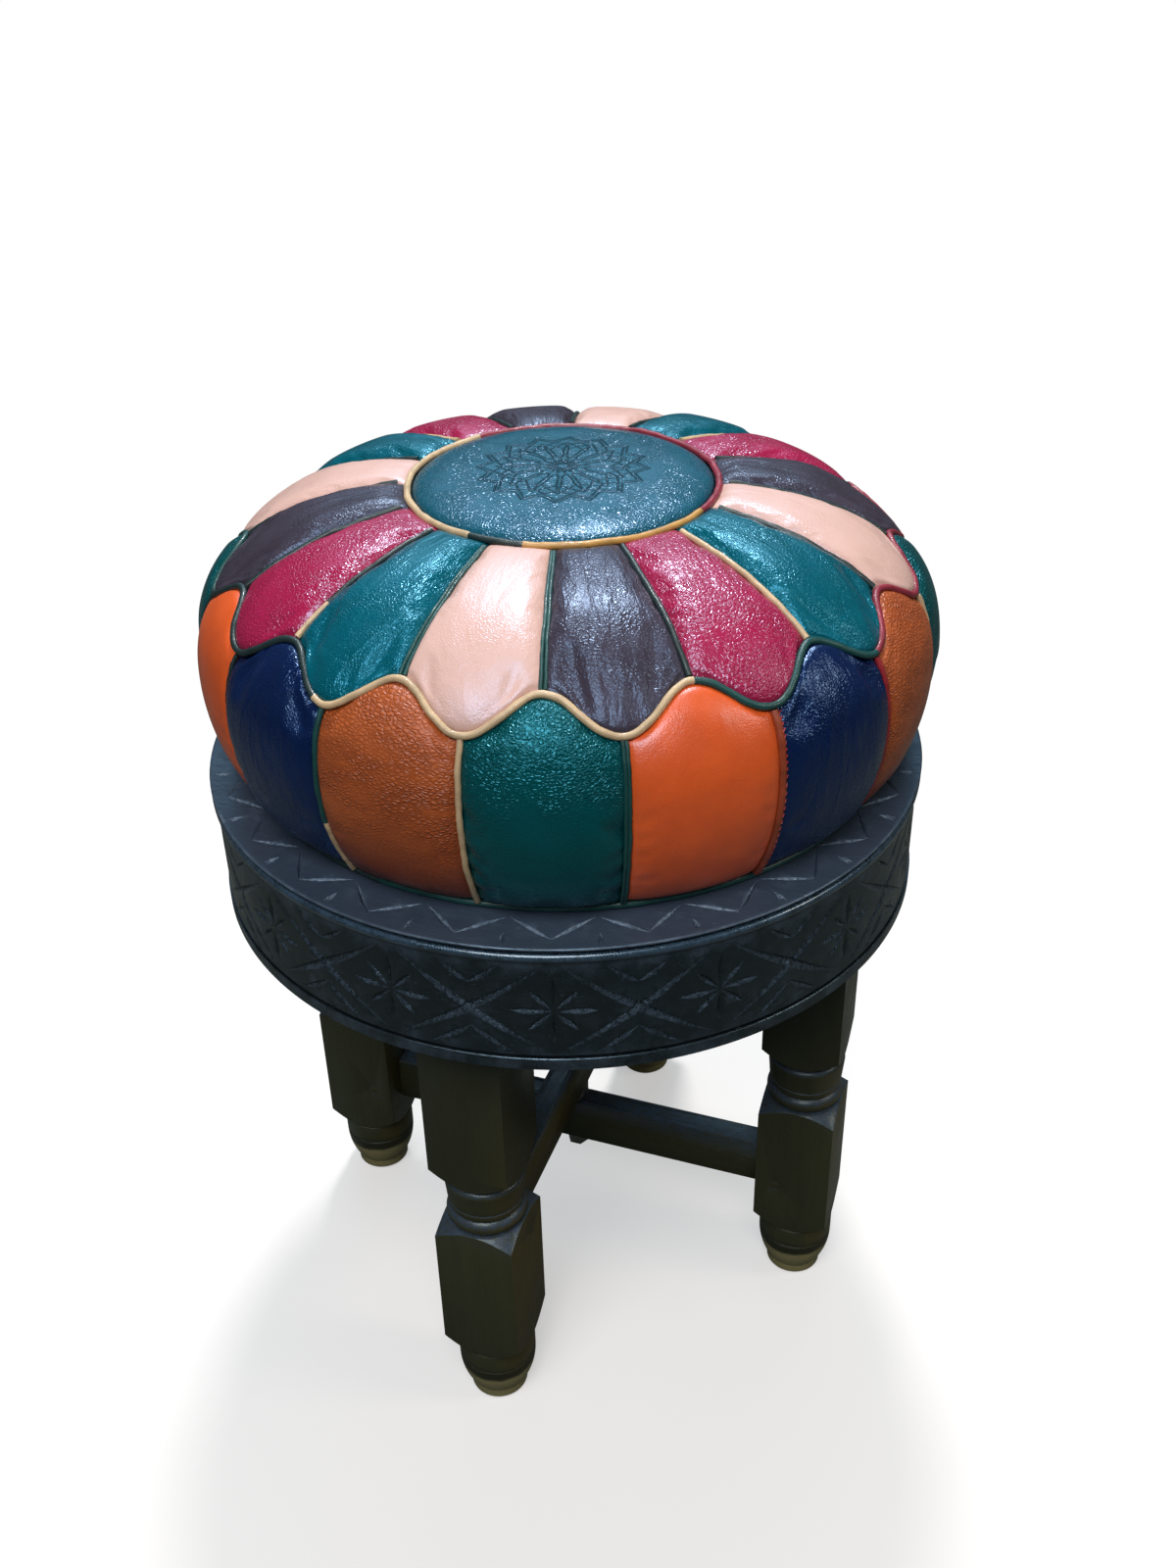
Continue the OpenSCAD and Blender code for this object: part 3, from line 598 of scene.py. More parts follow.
def softenEdges(piece, width):
    weld = piece.modifiers.new("weld", "WELD")
    weld.merge_threshold = 0.00001
    bevel = piece.modifiers.new("arris", "BEVEL")
    bevel.width = width
    bevel.segments = 2
    bevel.limit_method = "ANGLE"
    bevel.angle_limit = math.radians(25)
    bevel.harden_normals = True


def dressNode(name, material, arris=None, arrisMaterial=None):
    node = nodes[name]
    node.data.materials.clear()
    node.data.materials.append(material)
    roundOff(node.data)
    if arris:
        softenEdges(node, arris)
    if arrisMaterial:
        node.data.materials.append(arrisMaterial)
        node.modifiers["arris"].material = 1


# The frames of the stand keep their solids and get arrises and a finish

stand = {
    "legArris": 0.9 * mm,
    "barArris": 1.1 * mm,
    "pegArris": 0.4 * mm,
    "steelArris": 0.25 * mm,
    "tipTop": 26 * mm,            # the paler colour of the feet ends here
    "shadeUnderHoop": (0.10, 0.27),      # from here to there the legs darken upwards, as painted shade under the hoop
    "sheenFrom": (0.055, 0.065),  # above this, faces that look up take a painted bluish sheen
}


def dressStand():
    plain = woods["plain"]
    legWood = woodMaterial("of the legs", plain, "z", 0.12, tips=True)
    frontWood = woodMaterial("along the front frame", plain, "y", 0.12)
    sideWood = woodMaterial("along the side frame", plain, "x", 0.12)
    pegWood = woodMaterial("of the pegs", plain, "y", 0.8)
    arrisWood = woodMaterial("of worn arrises", plain, "z", 0.1, worn=0.7)
    steel = steelMaterial()
    for side in ("front", "back", "left", "right"):
        dressNode("leg_" + side, legWood, stand["legArris"], arrisWood)
    for name in ("front_back_stretcher", "front_back_rail"):
        dressNode(name, frontWood, stand["barArris"], arrisWood)
    for name in ("left_right_stretcher", "left_right_rail"):
        dressNode(name, sideWood, stand["barArris"], arrisWood)
    for name in ("front_frame_pegs", "side_frame_pegs"):
        dressNode(name, pegWood, stand["pegArris"])
    for name in ("lower_pivot_bolt", "upper_pivot_bolt", "pivot_nuts", "pivot_washers",
                 "pivot_spacer"):
        dressNode(name, steel, stand["steelArris"])


# Chip carving: straight leaf-shaped cuts, scored into a flat mesh and then sunk

def leaf(a, b, left, right, depth, widest=0.6):
    return {"a": Vector(a), "b": Vector(b), "left": left, "right": right, "depth": depth,
            "widest": widest}


def leafWidth(cut, t):
    if t <= 0 or t >= 1:
        return 0.0
    rise = t / cut["widest"] if t < cut["widest"] else (1 - t) / (1 - cut["widest"])
    return min(1.0, 1.25 * rise) ** 0.8


def leafLines(cut):
    way = cut["b"] - cut["a"]
    side = Vector((-way.y, way.x)).normalized()
    stops = [0, 0.25 * cut["widest"], 0.75 * cut["widest"], cut["widest"] * 0.5 + 0.5, 1]
    lines = [(cut["a"], cut["b"])]
    for width in (cut["left"], -cut["right"]):
        edge = [cut["a"] + way * t + side * width * leafWidth(cut, t) for t in stops]
        lines += list(zip(edge, edge[1:]))
    return lines


def score(bm, a, b):
    way = b - a
    length = way.length
    if length < 0.0002:
        return
    way = way / length
    side = Vector((-way.y, way.x))
    crossed = []
    for face in bm.faces:
        offs = [(v.co.xy - a).dot(side) for v in face.verts]
        if min(offs) < -1e-6 and max(offs) > 1e-6:
            runs = [(v.co.xy - a).dot(way) for v in face.verts]
            if max(runs) > 1e-6 and min(runs) < length - 1e-6:
                crossed.append(face)
    edges = list({edge for face in crossed for edge in face.edges})
    verts = list({vert for face in crossed for vert in face.verts})
    bmesh.ops.bisect_plane(bm, geom=crossed + edges + verts, dist=2e-5,
                           plane_co=(a.x, a.y, 0), plane_no=(side.x, side.y, 0))


# How deep a cut is at a flat point, as a share of its full depth and in metres
def sinkAt(cut, point):
    way = cut["b"] - cut["a"]
    t = (point - cut["a"]).dot(way) / way.length_squared
    full = leafWidth(cut, t)
    if full <= 0:
        return 0.0
    off = (point - cut["a"]).dot(Vector((-way.y, way.x)).normalized())
    width = (cut["left"] if off > 0 else cut["right"]) * full
    share = 1 - abs(off) / width
    return max(0.0, share) * full * cut["depth"]


def carve(bm, cuts):
    for cut in cuts:
        for a, b in leafLines(cut):
            score(bm, a, b)
    bmesh.ops.triangulate(bm, faces=bm.faces[:])
    layer = bm.verts.layers.float.new("cut")
    for vert in bm.verts:
        deep = max(sinkAt(cut, vert.co.xy) for cut in cuts)
        vert[layer] = min(1.0, deep / (1.2 * mm))
        vert.co.z = -deep


# Open edges whose ends lie within reach of a value, of their height or of their radius
def openEdges(bm, measure, value, reach):
    return [edge for edge in bm.edges if edge.is_boundary
            and all(abs(measure(v.co) - value) < reach for v in edge.verts)]


def heightOf(point):
    return point.z


def radiusOf(point):
    return point.xy.length


# A full turn of everything in the mesh, made in sectors because one long spin is slow
def fullTurn(bm, steps, sectors):
    sector = 2 * math.pi / sectors
    spin(bm, bm.verts[:] + bm.edges[:], sector, steps // sectors)
    spin(bm, everything(bm), sector * (sectors - 1), sectors - 1, copies=True)
    mergeNear(bm, 2e-6)


# Mirrors half a repeat, turns it to the first one's place and copies it all the way round
def repeatRound(bm, first, repeats):
    bmesh.ops.mirror(bm, geom=everything(bm), matrix=Matrix.Identity(4), merge_dist=1e-6, axis="X")
    mergeNear(bm, 5e-6)
    bmesh.ops.rotate(bm, verts=bm.verts[:], cent=(0, 0, 0),
                     matrix=Matrix.Rotation(math.radians(first), 3, "Z"))
    spin(bm, everything(bm), 2 * math.pi / repeats * (repeats - 1), repeats - 1, copies=True)
    mergeNear(bm, 1e-5)


# Carries a round boundary on through [radius, height] steps and returns its last edges
def turnProfile(bm, edges, steps):
    for radius, height in steps:
        new = bmesh.ops.extrude_edge_only(bm, edges=edges)["geom"]
        edges = [item for item in new if isinstance(item, bmesh.types.BMEdge)]
        for vert in {vert for edge in edges for vert in edge.verts}:
            flat = vert.co.xy.normalized() * radius
            vert.co = Vector((flat.x, flat.y, height))
    return edges


boardLow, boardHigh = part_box("top_board")
hoopLow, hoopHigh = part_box("apron_hoop")
hoop = {
    "repeats": 15,
    "firstStar": 17.8,         # degrees from the front leg to the right
    "fieldR": boardHigh.x - 2 * mm,
    "innerR": boardHigh.x - 24 * mm,
    "bandR": boardHigh.x - 1 * mm,
    "bandH": 8 * mm,
    "lineW": 1.6 * mm,
    "arris": 0.8 * mm,
    "starZ": 361 * mm,
    "crossZ": 363 * mm,
    "cells": (8, 11),
    "wobble": 0.35 * mm,
    # the star's rays in millimetres: from, to, half their width and depth
    "rays": [(0.8, 0, 23, 0, 2.1, 1.9), (0, 0.8, 0, 22, 2.0, 1.8), (0, -0.8, 0, -21, 2.0, 1.8),
             (0.6, 0.6, 13.5, 14, 1.9, 1.8), (0.6, -0.6, 13.5, -13, 1.9, 1.8)],
}


# The cuts of half a repeat, from a star's axis at x = 0 to a crossing at x = half
def hoopCuts(half):
    star, cross = hoop["starZ"], hoop["crossZ"]
    top, foot = hoopHigh.z - 2.5 * mm, hoopLow.z + 12.5 * mm
    cuts = [leaf((x0 * mm, star + y0 * mm), (x1 * mm, star + y1 * mm), w * mm, w * mm, deep * mm)
            for x0, y0, x1, y1, w, deep in hoop["rays"]]
    # the ribbons: a steep wall above and a broad face below
    for a, b in ((foot, top), (top, foot)):
        cuts.append(leaf((4 * mm, a), (2 * half - 4 * mm, b), 1.3 * mm, 3.9 * mm, 2.4 * mm, 0.5))
    # the chevrons above and below the crossing
    cuts.append(leaf((half - 17 * mm, top + 0.5 * mm), (half + 1.2 * mm, cross + 13.2 * mm),
                     1.0 * mm, 2.2 * mm, 1.7 * mm))
    cuts.append(leaf((half - 23 * mm, foot - 2 * mm), (half + 1.2 * mm, cross - 13.4 * mm),
                     1.0 * mm, 2.4 * mm, 1.8 * mm))
    return cuts


def bendToHoop(bm, radius):
    for vert in bm.verts:
        x, z, sunk = vert.co.x, vert.co.y, vert.co.z
        angle = x / radius
        r = radius + sunk
        vert.co = Vector((r * math.sin(angle), -r * math.cos(angle), z))


def makeHoop(material):
    radius = hoop["fieldR"]
    half = radius * math.pi / hoop["repeats"]
    low = hoopLow.z + hoop["bandH"] + hoop["lineW"]
    high = hoopHigh.z
    bm = bmesh.new()
    bmesh.ops.create_grid(bm, x_segments=hoop["cells"][0], y_segments=hoop["cells"][1], size=0.5)
    for vert in bm.verts:
        vert.co = Vector(((vert.co.x + 0.5) * half, low + (vert.co.y + 0.5) * (high - low), 0))
    carve(bm, hoopCuts(half))
    bendToHoop(bm, radius)
    repeatRound(bm, hoop["firstStar"], hoop["repeats"])
    for vert in bm.verts:
        if low + 0.5 * mm < vert.co.z < high - 0.5 * mm:
            wander = noise.noise_vector(vert.co * 40) * hoop["wobble"]
            vert.co.z += wander.z
            around = Vector((-vert.co.y, vert.co.x, 0)).normalized()
            vert.co += around * wander.x * 1.5
    foot, band = hoopLow.z, hoopLow.z + hoop["bandH"]
    arris = hoop["arris"]
    lowEdges = openEdges(bm, heightOf, low, 2e-5)
    highEdges = openEdges(bm, heightOf, high, 2e-5)
    turnProfile(bm, lowEdges, [
        (radius - hoop["lineW"], low - 0.3 * mm), (radius - hoop["lineW"], band),
        (hoop["bandR"] - arris / 2, band), (hoop["bandR"], band - arris / 2),
        (hoop["bandR"], foot + arris), (hoop["bandR"] - arris, foot),
        (hoop["innerR"] + arris, foot), (hoop["innerR"], foot + arris), (hoop["innerR"], high)])
    turnProfile(bm, highEdges, [(hoop["innerR"], high)])
    mergeNear(bm, 1e-5)
    turnOutwards(bm)
    piece = newPiece("carved_hoop", bm, material, smooth=24)
    place(piece, "tabletop", "carved_black_wood", "apron_hoop")


board = {
    "repeats": 26,
    "firstApex": 3.9,          # an outer apex of the zigzag, degrees from the front to the right
    "outerApex": 202 * mm,
    "innerApex": 184 * mm,
    "carvedFrom": 150 * mm,
    "lineW": 1.35 * mm,
    "lineDepth": 1.4 * mm,
    "rollH": 1.8 * mm,
    "quirkH": 2.6 * mm,
    "quirkD": 4.2 * mm,
    "rimT": 10 * mm,
    "steps": 3,
    "ticks": 816,
    "tickDepth": 0.12 * mm,
    "tickLean": 0.9,
}


def polar(radius, angle):
    return Vector((radius * math.sin(angle), -radius * math.cos(angle)))


def boardCuts(half):
    w, deep = board["lineW"], board["lineDepth"]
    way = polar(board["innerApex"], half) - polar(board["outerApex"], 0)
    start = polar(board["outerApex"], 0) - way * 0.02
    stop = polar(board["innerApex"], half) - way * 0.02
    return [
        leaf(start, stop, w, w, deep, 0.45),
        leaf(polar(197.5 * mm, half), polar(207 * mm, half * 0.95), w * 0.7, w * 0.7, deep, 0.5),
    ]


def makeBoard(material):
    half = math.pi / board["repeats"]
    outer = boardHigh.x - board["rollH"]
    inner = board["carvedFrom"]
    bm = bmesh.new()
    bmesh.ops.create_grid(bm, x_segments=3, y_segments=10, size=0.5)
    for vert in bm.verts:
        point = polar(inner + (vert.co.y + 0.5) * (outer - inner), (vert.co.x + 0.5) * half)
        vert.co = Vector((point.x, point.y, 0))
    carve(bm, boardCuts(half))
    repeatRound(bm, board["firstApex"], board["repeats"])
    top = boardHigh.z
    for vert in bm.verts:
        if inner + 1 * mm < vert.co.xy.length < outer - 1 * mm:
            wander = noise.noise_vector(vert.co * 55) * 0.5 * mm
            vert.co.x += wander.x
            vert.co.y += wander.y
        vert.co.z += top
    edgeR = boardHigh.x
    roll, quirk = board["rollH"], board["quirkH"]
    rimFoot = top - board["rimT"]
    outerEdges = openEdges(bm, radiusOf, outer, 1 * mm)
    innerEdges = openEdges(bm, radiusOf, inner, 1 * mm)
    rollSteps = [(edgeR - roll / 2 + roll / 2 * math.sin(math.radians(t)),
                  top - roll / 2 + roll / 2 * math.cos(math.radians(t)))
                 for t in range(0, 181, 30)]
    beadTop = top - roll - quirk
    turnProfile(bm, outerEdges, rollSteps + [
        (edgeR - board["quirkD"], top - roll), (edgeR - board["quirkD"], beadTop),
        (edgeR - 4 * mm, beadTop - 0.4 * mm), (edgeR - 4 * mm, rimFoot + 0.3 * mm),
        (edgeR - 4 * mm, rimFoot), (hoop["innerR"] - 0.1 * mm, rimFoot),
        (hoop["innerR"] - 0.1 * mm, boardLow.z), (60 * mm, boardLow.z), (0.001 * mm, boardLow.z)])
    turnProfile(bm, innerEdges, [(100 * mm, top), (50 * mm, top), (0.001 * mm, top)])
    mergeNear(bm, 1e-5)
    turnOutwards(bm)
    piece = newPiece("carved_board", bm, material, smooth=24)
    place(piece, "tabletop", "carved_black_wood", "top_board")


# The bead under the rim's groove, milled with fine leaning ticks
def makeBead(material):
    top = boardHigh.z - board["rollH"] - board["quirkH"]
    low = boardHigh.z - board["rimT"]
    beadR = (top - low) / 2
    middle = Vector((boardHigh.x - beadR, 0, (top + low) / 2))
    bm = bmesh.new()
    ring = bmesh.ops.create_circle(bm, segments=12, radius=beadR, cap_ends=False)["verts"]
    bmesh.ops.rotate(bm, verts=ring, cent=(0, 0, 0), matrix=Matrix.Rotation(math.pi / 2, 3, "X"))
    bmesh.ops.translate(bm, verts=ring, vec=middle)
    fullTurn(bm, board["ticks"] * 4, 34)
    pitch = 2 * math.pi / board["ticks"]
    cut = bm.verts.layers.float.new("cut")
    for vert in bm.verts:
        around = math.atan2(vert.co.y, vert.co.x)
        lift = (vert.co.z - middle.z) / beadR
        phase = (around / pitch + board["tickLean"] * lift) % 1
        deep = max(0.0, 1 - abs(phase - 0.5) / 0.5)
        out = (vert.co.xy.length - middle.x) / beadR
        sink = board["tickDepth"] * deep * max(0.0, out + 0.35)
        vert[cut] = deep * 0.12
        flat = vert.co.xy.normalized() * (vert.co.xy.length - sink)
        vert.co = Vector((flat.x, flat.y, vert.co.z))
    turnOutwards(bm)
    piece = newPiece("milled_bead", bm, material, smooth=60)
    place(piece, "tabletop", "carved_black_wood", "top_board")


# The pouf, about its own middle, which lies a little behind the table's

pouf = {
    "panels": 16,
    "firstSeam": -5.9,        # degrees from the front towards the right
    "r": 206 * mm,
    "baseR": 186 * mm,
    "foot": boardHigh.z + 0.3 * mm,
    "bellyH": 66 * mm,
    "crownH": 93 * mm,
    "power": 0.8,
    "back": 8 * mm,
    "peakH": 56 * mm,         # scallops above the widest line
    "tipH": 40 * mm,
    "medallionR": 86 * mm,
    "pipingR": 2.0 * mm,
    "leather": 1.8 * mm,
    "stuffingIn": 2.4 * mm,   # the stuffing's sides are drawn in, clear of the leather
    "columns": 26,
    "petalRows": 38,
    "sideRows": 34,
    "puff": 3.6 * mm,
    "seamDip": 2.2 * mm,
    "overBase": 0.020,        # the side panels end this far above the base's piping, as an angle
}
petalColours = ["peach", "taupe", "maroon", "teal"]
sideColours = ["teal", "orange", "navy", "tan"]
# how much wider and longer each leather is cut than the space it fills
slack = {
    "petal": {"peach": (0.020, 0.010), "taupe": (0.050, 0.015), "maroon": (0.022, 0.015),
              "teal": (0.045, 0.020)},
    "side_panel": {"teal": (0.035, 0.035), "orange": (0.012, 0.010), "navy": (0.040, 0.020),
                   "tan": (0.022, 0.012)},
}
belly = pouf["foot"] + pouf["bellyH"]
baseAngle = -math.acos(pouf["baseR"] / pouf["r"])
dropH = pouf["bellyH"] / math.sin(-baseAngle)
panelTurn = 360 / pouf["panels"]


def crownAngle(height):
    return math.asin((height / pouf["crownH"]) ** (1 / pouf["power"]))


peakAngle, tipAngle = crownAngle(pouf["peakH"]), crownAngle(pouf["tipH"])
medallionAngle = math.acos((pouf["medallionR"] / pouf["r"]) ** (1 / pouf["power"]))


def outline(a):
    if a >= 0:
        return Vector((pouf["r"] * max(0, math.cos(a)) ** pouf["power"],
                       belly + pouf["crownH"] * math.sin(a) ** pouf["power"]))
    return Vector((pouf["r"] * math.cos(a), belly + dropH * math.sin(a)))


# A point of the pouf: th degrees round from the front, a up the outline, off outwards
def skin(th, a, off=0.0):
    step = outline(a + 0.008) - outline(a - 0.008)
    out = Vector((step.y, -step.x)).normalized()
    r, z = outline(a) + off * out
    t = math.radians(th)
    return Vector((r * math.sin(t), pouf["back"] - r * math.cos(t), z))


def scallopAngle(th):
    wave = 0.5 + 0.5 * math.cos(2 * math.pi * (th - pouf["firstSeam"]) / panelTurn)
    return tipAngle + (peakAngle - tipAngle) * wave


def puffAt(u, v):
    swell = max(0.0, 4 * u * (1 - u)) ** 0.5 * max(0.0, 4 * v * (1 - v)) ** 0.4
    return pouf["puff"] * swell - pouf["seamDip"] * (1 - swell) ** 3


# A panel as it lies on the pouf, or as it is cut when extra tells how much more it has
def leatherGrid(th0, isPetal, extra=(0, 0)):
    rows = pouf["petalRows"] if isPetal else pouf["sideRows"]
    bm = bmesh.new()
    bm.loops.layers.uv.new("panel")
    bmesh.ops.create_grid(bm, x_segments=pouf["columns"], y_segments=rows, size=0.5,
                          calc_uvs=True)
    seam = bm.verts.layers.float.new("seam")
    pin = bm.verts.layers.float.new("pin")
    for vert in bm.verts:
        u, v = vert.co.x + 0.5, vert.co.y + 0.5
        th = th0 + u * panelTurn
        low = scallopAngle(th) if isPetal else baseAngle + pouf["overBase"]
        high = medallionAngle if isPetal else scallopAngle(th)
        a = low + (high - low) * (v + (v - 0.5) * extra[1])
        th += (u - 0.5) * extra[0] * panelTurn
        wide = outline(a).x * math.radians(panelTurn)
        tall = 0.115
        away = min(u * wide, (1 - u) * wide, v * tall, (1 - v) * tall)
        vert[seam] = max(0.0, 1 - away / (9 * mm))
        vert[pin] = 1.0 if away < 1e-6 else 0.0
        vert.co = skin(th, a, puffAt(u, v))
    return bm


def makePanels(materials):
    panels = []
    for k in range(1, pouf["panels"] + 1):
        for isPetal in (True, False):
            colour = (petalColours if isPetal else sideColours)[(k - 1) % 4]
            th0 = pouf["firstSeam"] + (k - (1 if isPetal else 0.5)) * panelTurn
            kind = "petal" if isPetal else "side_panel"
            finish = colour
            if colour == "teal":
                finish = "tealPetal" if isPetal else "tealSide"
            bm = leatherGrid(th0, isPetal)
            piece = newPiece(f"leather_{kind}_{k}", bm, materials[finish])
            place(piece, "pouf", "leather_" + colour, f"{kind}_{k}")
            panels.append((piece, th0, isPetal, slack[kind][colour]))
    return panels


cloth = {
    "frames": 24,
    "drawn": 13,           # the frame at which the seams are in their places
    "quality": 5,
    "mass": 0.3,
    "pressure": 12.0,
    "stretch": 15,
    "bend": 0.08,
    "out": 5.5 * mm,       # the leather ends at most this far out of its first place
    "into": 2.2 * mm,
}


# One run for all panels: each starts as it is cut, its seams are drawn in to their places and
# held there, and the stuffing presses from inside, so the surplus leather folds
def simulatePanels(panels):
    bm = bmesh.new()
    for piece, th0, isPetal, extra in panels:
        cut = leatherGrid(th0, isPetal, extra)
        mesh = bpy.data.meshes.new("as_cut")
        cut.to_mesh(mesh)
        cut.free()
        bm.from_mesh(mesh)
        bpy.data.meshes.remove(mesh)
    sheet = newPiece("leather_run", bm)
    held = sheet.vertex_groups.new(name="held")
    pins = [0.0] * len(sheet.data.vertices)
    sheet.data.attributes["pin"].data.foreach_get("value", pins)
    held.add([i for i, value in enumerate(pins) if value > 0.5], 1.0, "REPLACE")
    sheet.shape_key_add(name="as cut")
    drawn = sheet.shape_key_add(name="in place")
    drawn.data.foreach_set("co", [c for panel in panels for v in panel[0].data.vertices
                                  for c in v.co])
    for value, count in ((0, 1), (1, cloth["drawn"])):
        drawn.value = value
        drawn.keyframe_insert("value", frame=count)
    run = sheet.modifiers.new("cloth", "CLOTH")
    rules = run.settings
    rules.quality = cloth["quality"]
    rules.mass = cloth["mass"]
    rules.tension_stiffness = rules.compression_stiffness = cloth["stretch"]
    rules.shear_stiffness = cloth["stretch"] / 2
    rules.bending_stiffness = cloth["bend"]
    rules.use_pressure = True
    rules.uniform_pressure_force = cloth["pressure"]
    rules.effector_weights.gravity = 0
    rules.vertex_group_mass = "held"
    run.point_cache.frame_start = 1
    run.point_cache.frame_end = cloth["frames"]
    scene = bpy.context.scene
    for count in range(1, cloth["frames"] + 1):
        scene.frame_set(count)
    shaped = sheet.evaluated_get(bpy.context.evaluated_depsgraph_get()).to_mesh()
    places = [v.co.copy() for v in shaped.vertices]
    start = 0
    for piece, th0, isPetal, extra in panels:
        for i, vert in enumerate(piece.data.vertices):
            move = places[start + i] - vert.co
            off = move.dot(vert.normal)
            vert.co += move + vert.normal * (min(cloth["out"], max(-cloth["into"], off)) - off)
        start += len(piece.data.vertices)
    scene.frame_set(1)
    bpy.data.objects.remove(sheet)


def thicken(piece):
    roundOff(piece.data)
    shell = piece.modifiers.new("thickness", "SOLIDIFY")
    shell.thickness = pouf["leather"]
    shell.offset = -1


def finishPanels(panels):
    for piece, th0, isPetal, extra in panels:
        for vert in piece.data.vertices:
            vert.co.z = max(vert.co.z, pouf["foot"] + 0.2 * mm)
        finer = piece.modifiers.new("finer", "SUBSURF")
        finer.levels = finer.render_levels = 1
        thicken(piece)


# Piping: tubes along the seams, one piece for each colour

def pipingPiece(name, runs, radius, material, slotName, replaced):
    data = bpy.data.curves.new(name, "CURVE")
    data.dimensions = "3D"
    data.bevel_depth = radius
    data.bevel_resolution = 3
    data.use_fill_caps = True
    for points in runs:
        spline = data.splines.new("POLY")
        spline.points.add(len(points) - 1)
        for i, point in enumerate(points):
            spline.points[i].co = (*point, 1)
            spline.points[i].radius = 1 + 0.10 * noise.noise(point * 210)
    tube = link(bpy.data.objects.new(name + "_path", data))
    mesh = bpy.data.meshes.new_from_object(tube.evaluated_get(
        bpy.context.evaluated_depsgraph_get()))
    bpy.data.objects.remove(tube)
    bm = bmesh.new()
    bm.from_mesh(mesh)
    mergeNear(bm, 1e-6)
    turnOutwards(bm)
    piece = newPiece(name, bm, material, smooth=50)
    place(piece, "pouf", slotName, replaced)


def wobbled(th, a, off, seed):
    point = skin(th, a, off)
    sway = noise.noise_vector(point * 55 + Vector((seed, 0, 0)))
    knots = noise.noise_vector(point * 150 + Vector((0, seed, 0)))
    return point + sway * 0.55 * mm + knots * 0.35 * mm


def roundRun(angleAt, fromTh, toTh, off, seed):
    count = max(8, int((toTh - fromTh) / 0.6))
    ths = [fromTh + (toTh - fromTh) * i / count for i in range(count + 1)]
    return [wobbled(th, angleAt(th), off, seed) for th in ths]


def seamRun(th, low, high, off, seed):
    count = 50
    return [wobbled(th, low + (high - low) * i / count, off, seed) for i in range(count + 1)]


pipingPlan = {
    "sink": -0.2 * mm,
    "scallopsOut": 0.5 * mm,
    "baseOut": 0.5 * mm,
    # along each seam: colour, from, to and kind; the seams are counted round from the front one
    "petals": {0: [("teal", 0, 1, "double")], 1: [("teal", 0, 1, "double")],
               3: [("beige", 0, 1, "single")], 7: [("beige", 0, 1, "single")],
               11: [("beige", 0, 1, "single")],
               15: [("beige", 0, 0.3, "single"), ("dark", 0.3, 1, "single")]},
    "petalElse": [("dark", 0, 1, "single")],
    "sides": {14: [("beige", 0, 0.1, "single"), ("dark", 0.1, 1, "thin")],
              15: [("beige", 0, 0.34, "single"), ("teal", 0.34, 1, "single")],
              13: [("dark", 0, 1, "single")]},
    "sideElse": [[("beige", 0, 1, "single")], [("teal", 0, 1, "double")],
                 [("rust", 0, 1, "stitched")], [("crimson", 0, 1, "single")]],
    "scallop_piping": [("dark", -62, -19), ("beige", -19, 39.5), ("teal", 39.5, 73),
                       ("maroon", 73, 150), ("beige", 150, 232), ("teal", 232, 298)],
    "medallion_piping": [("dark", -14, 6), ("mustard", 6, 77), ("maroon", 77, 235),
                         ("beige", 235, 346)],
    "base": [("teal", -12, 84), ("dark", 84, 348)],
    "slots": {"beige": "beige", "teal": "teal", "maroon": "maroon", "mustard": "mustard",
              "rust": "rust", "crimson": "rust", "dark": "teal"},
    # how each kind of seam is made: runs aside by so much, with this share of the full radius
    "kinds": {"single": [(0, 0.85)], "thin": [(0, 0.6)],
              "double": [(-0.95 * mm, 0.55), (0.95 * mm, 0.55)],
              "stitched": [(0, 1.1)]},
    "stitch": (3.4 * mm, 1.5 * mm, 0.32 * mm),  # pitch, reach and radius
}


def addSeams(seams, node, low, high, firstTh, seed, finishes):
    runs = {}
    for k, parts in seams:
        th = firstTh + k * panelTurn
        for colour, start, stop, kind in parts:
            a, b = low + (high - low) * start, low + (high - low) * stop
            for aside, share in pipingPlan["kinds"][kind]:
                turn = math.degrees(aside / outline((a + b) / 2).x)
                run = seamRun(th + turn, a, b, pipingPlan["sink"], seed + k)
                runs.setdefault((colour, share), []).append(run)
            if kind == "stitched":
                addStitches(runs, th, a, b)
    for colour, share in sorted(runs):
        number = "" if share > 0.7 else "_fine" if share > 0.3 else "_stitches"
        pipingPiece(f"{node}_{colour}{number}", runs[colour, share], pouf["pipingR"] * share,
                    finishes[colour], "piping_" + pipingPlan["slots"][colour], node)


# Slanted stitches of dark red thread beside a seam
def addStitches(runs, th, a, b):
    pitch, reach, radius = pipingPlan["stitch"]
    turn = math.degrees(1 / pouf["r"])
    count = int((b - a) * 120 * mm / pitch)
    for i in range(count):
        at = a + (b - a) * (i + 0.3) / count
        start = skin(th + 0.8 * mm * turn, at, 1.9 * mm)
        stop = skin(th + (1.9 * mm + reach) * turn, at + 0.012, 0.4 * mm)
        aside = (start - stop).cross(Vector((0, 0, 1))).normalized() * 0.2 * mm
        middle = (start + stop) / 2 + aside
        share = radius / pouf["pipingR"]
        runs.setdefault(("crimson", share), []).append([start, middle, stop])


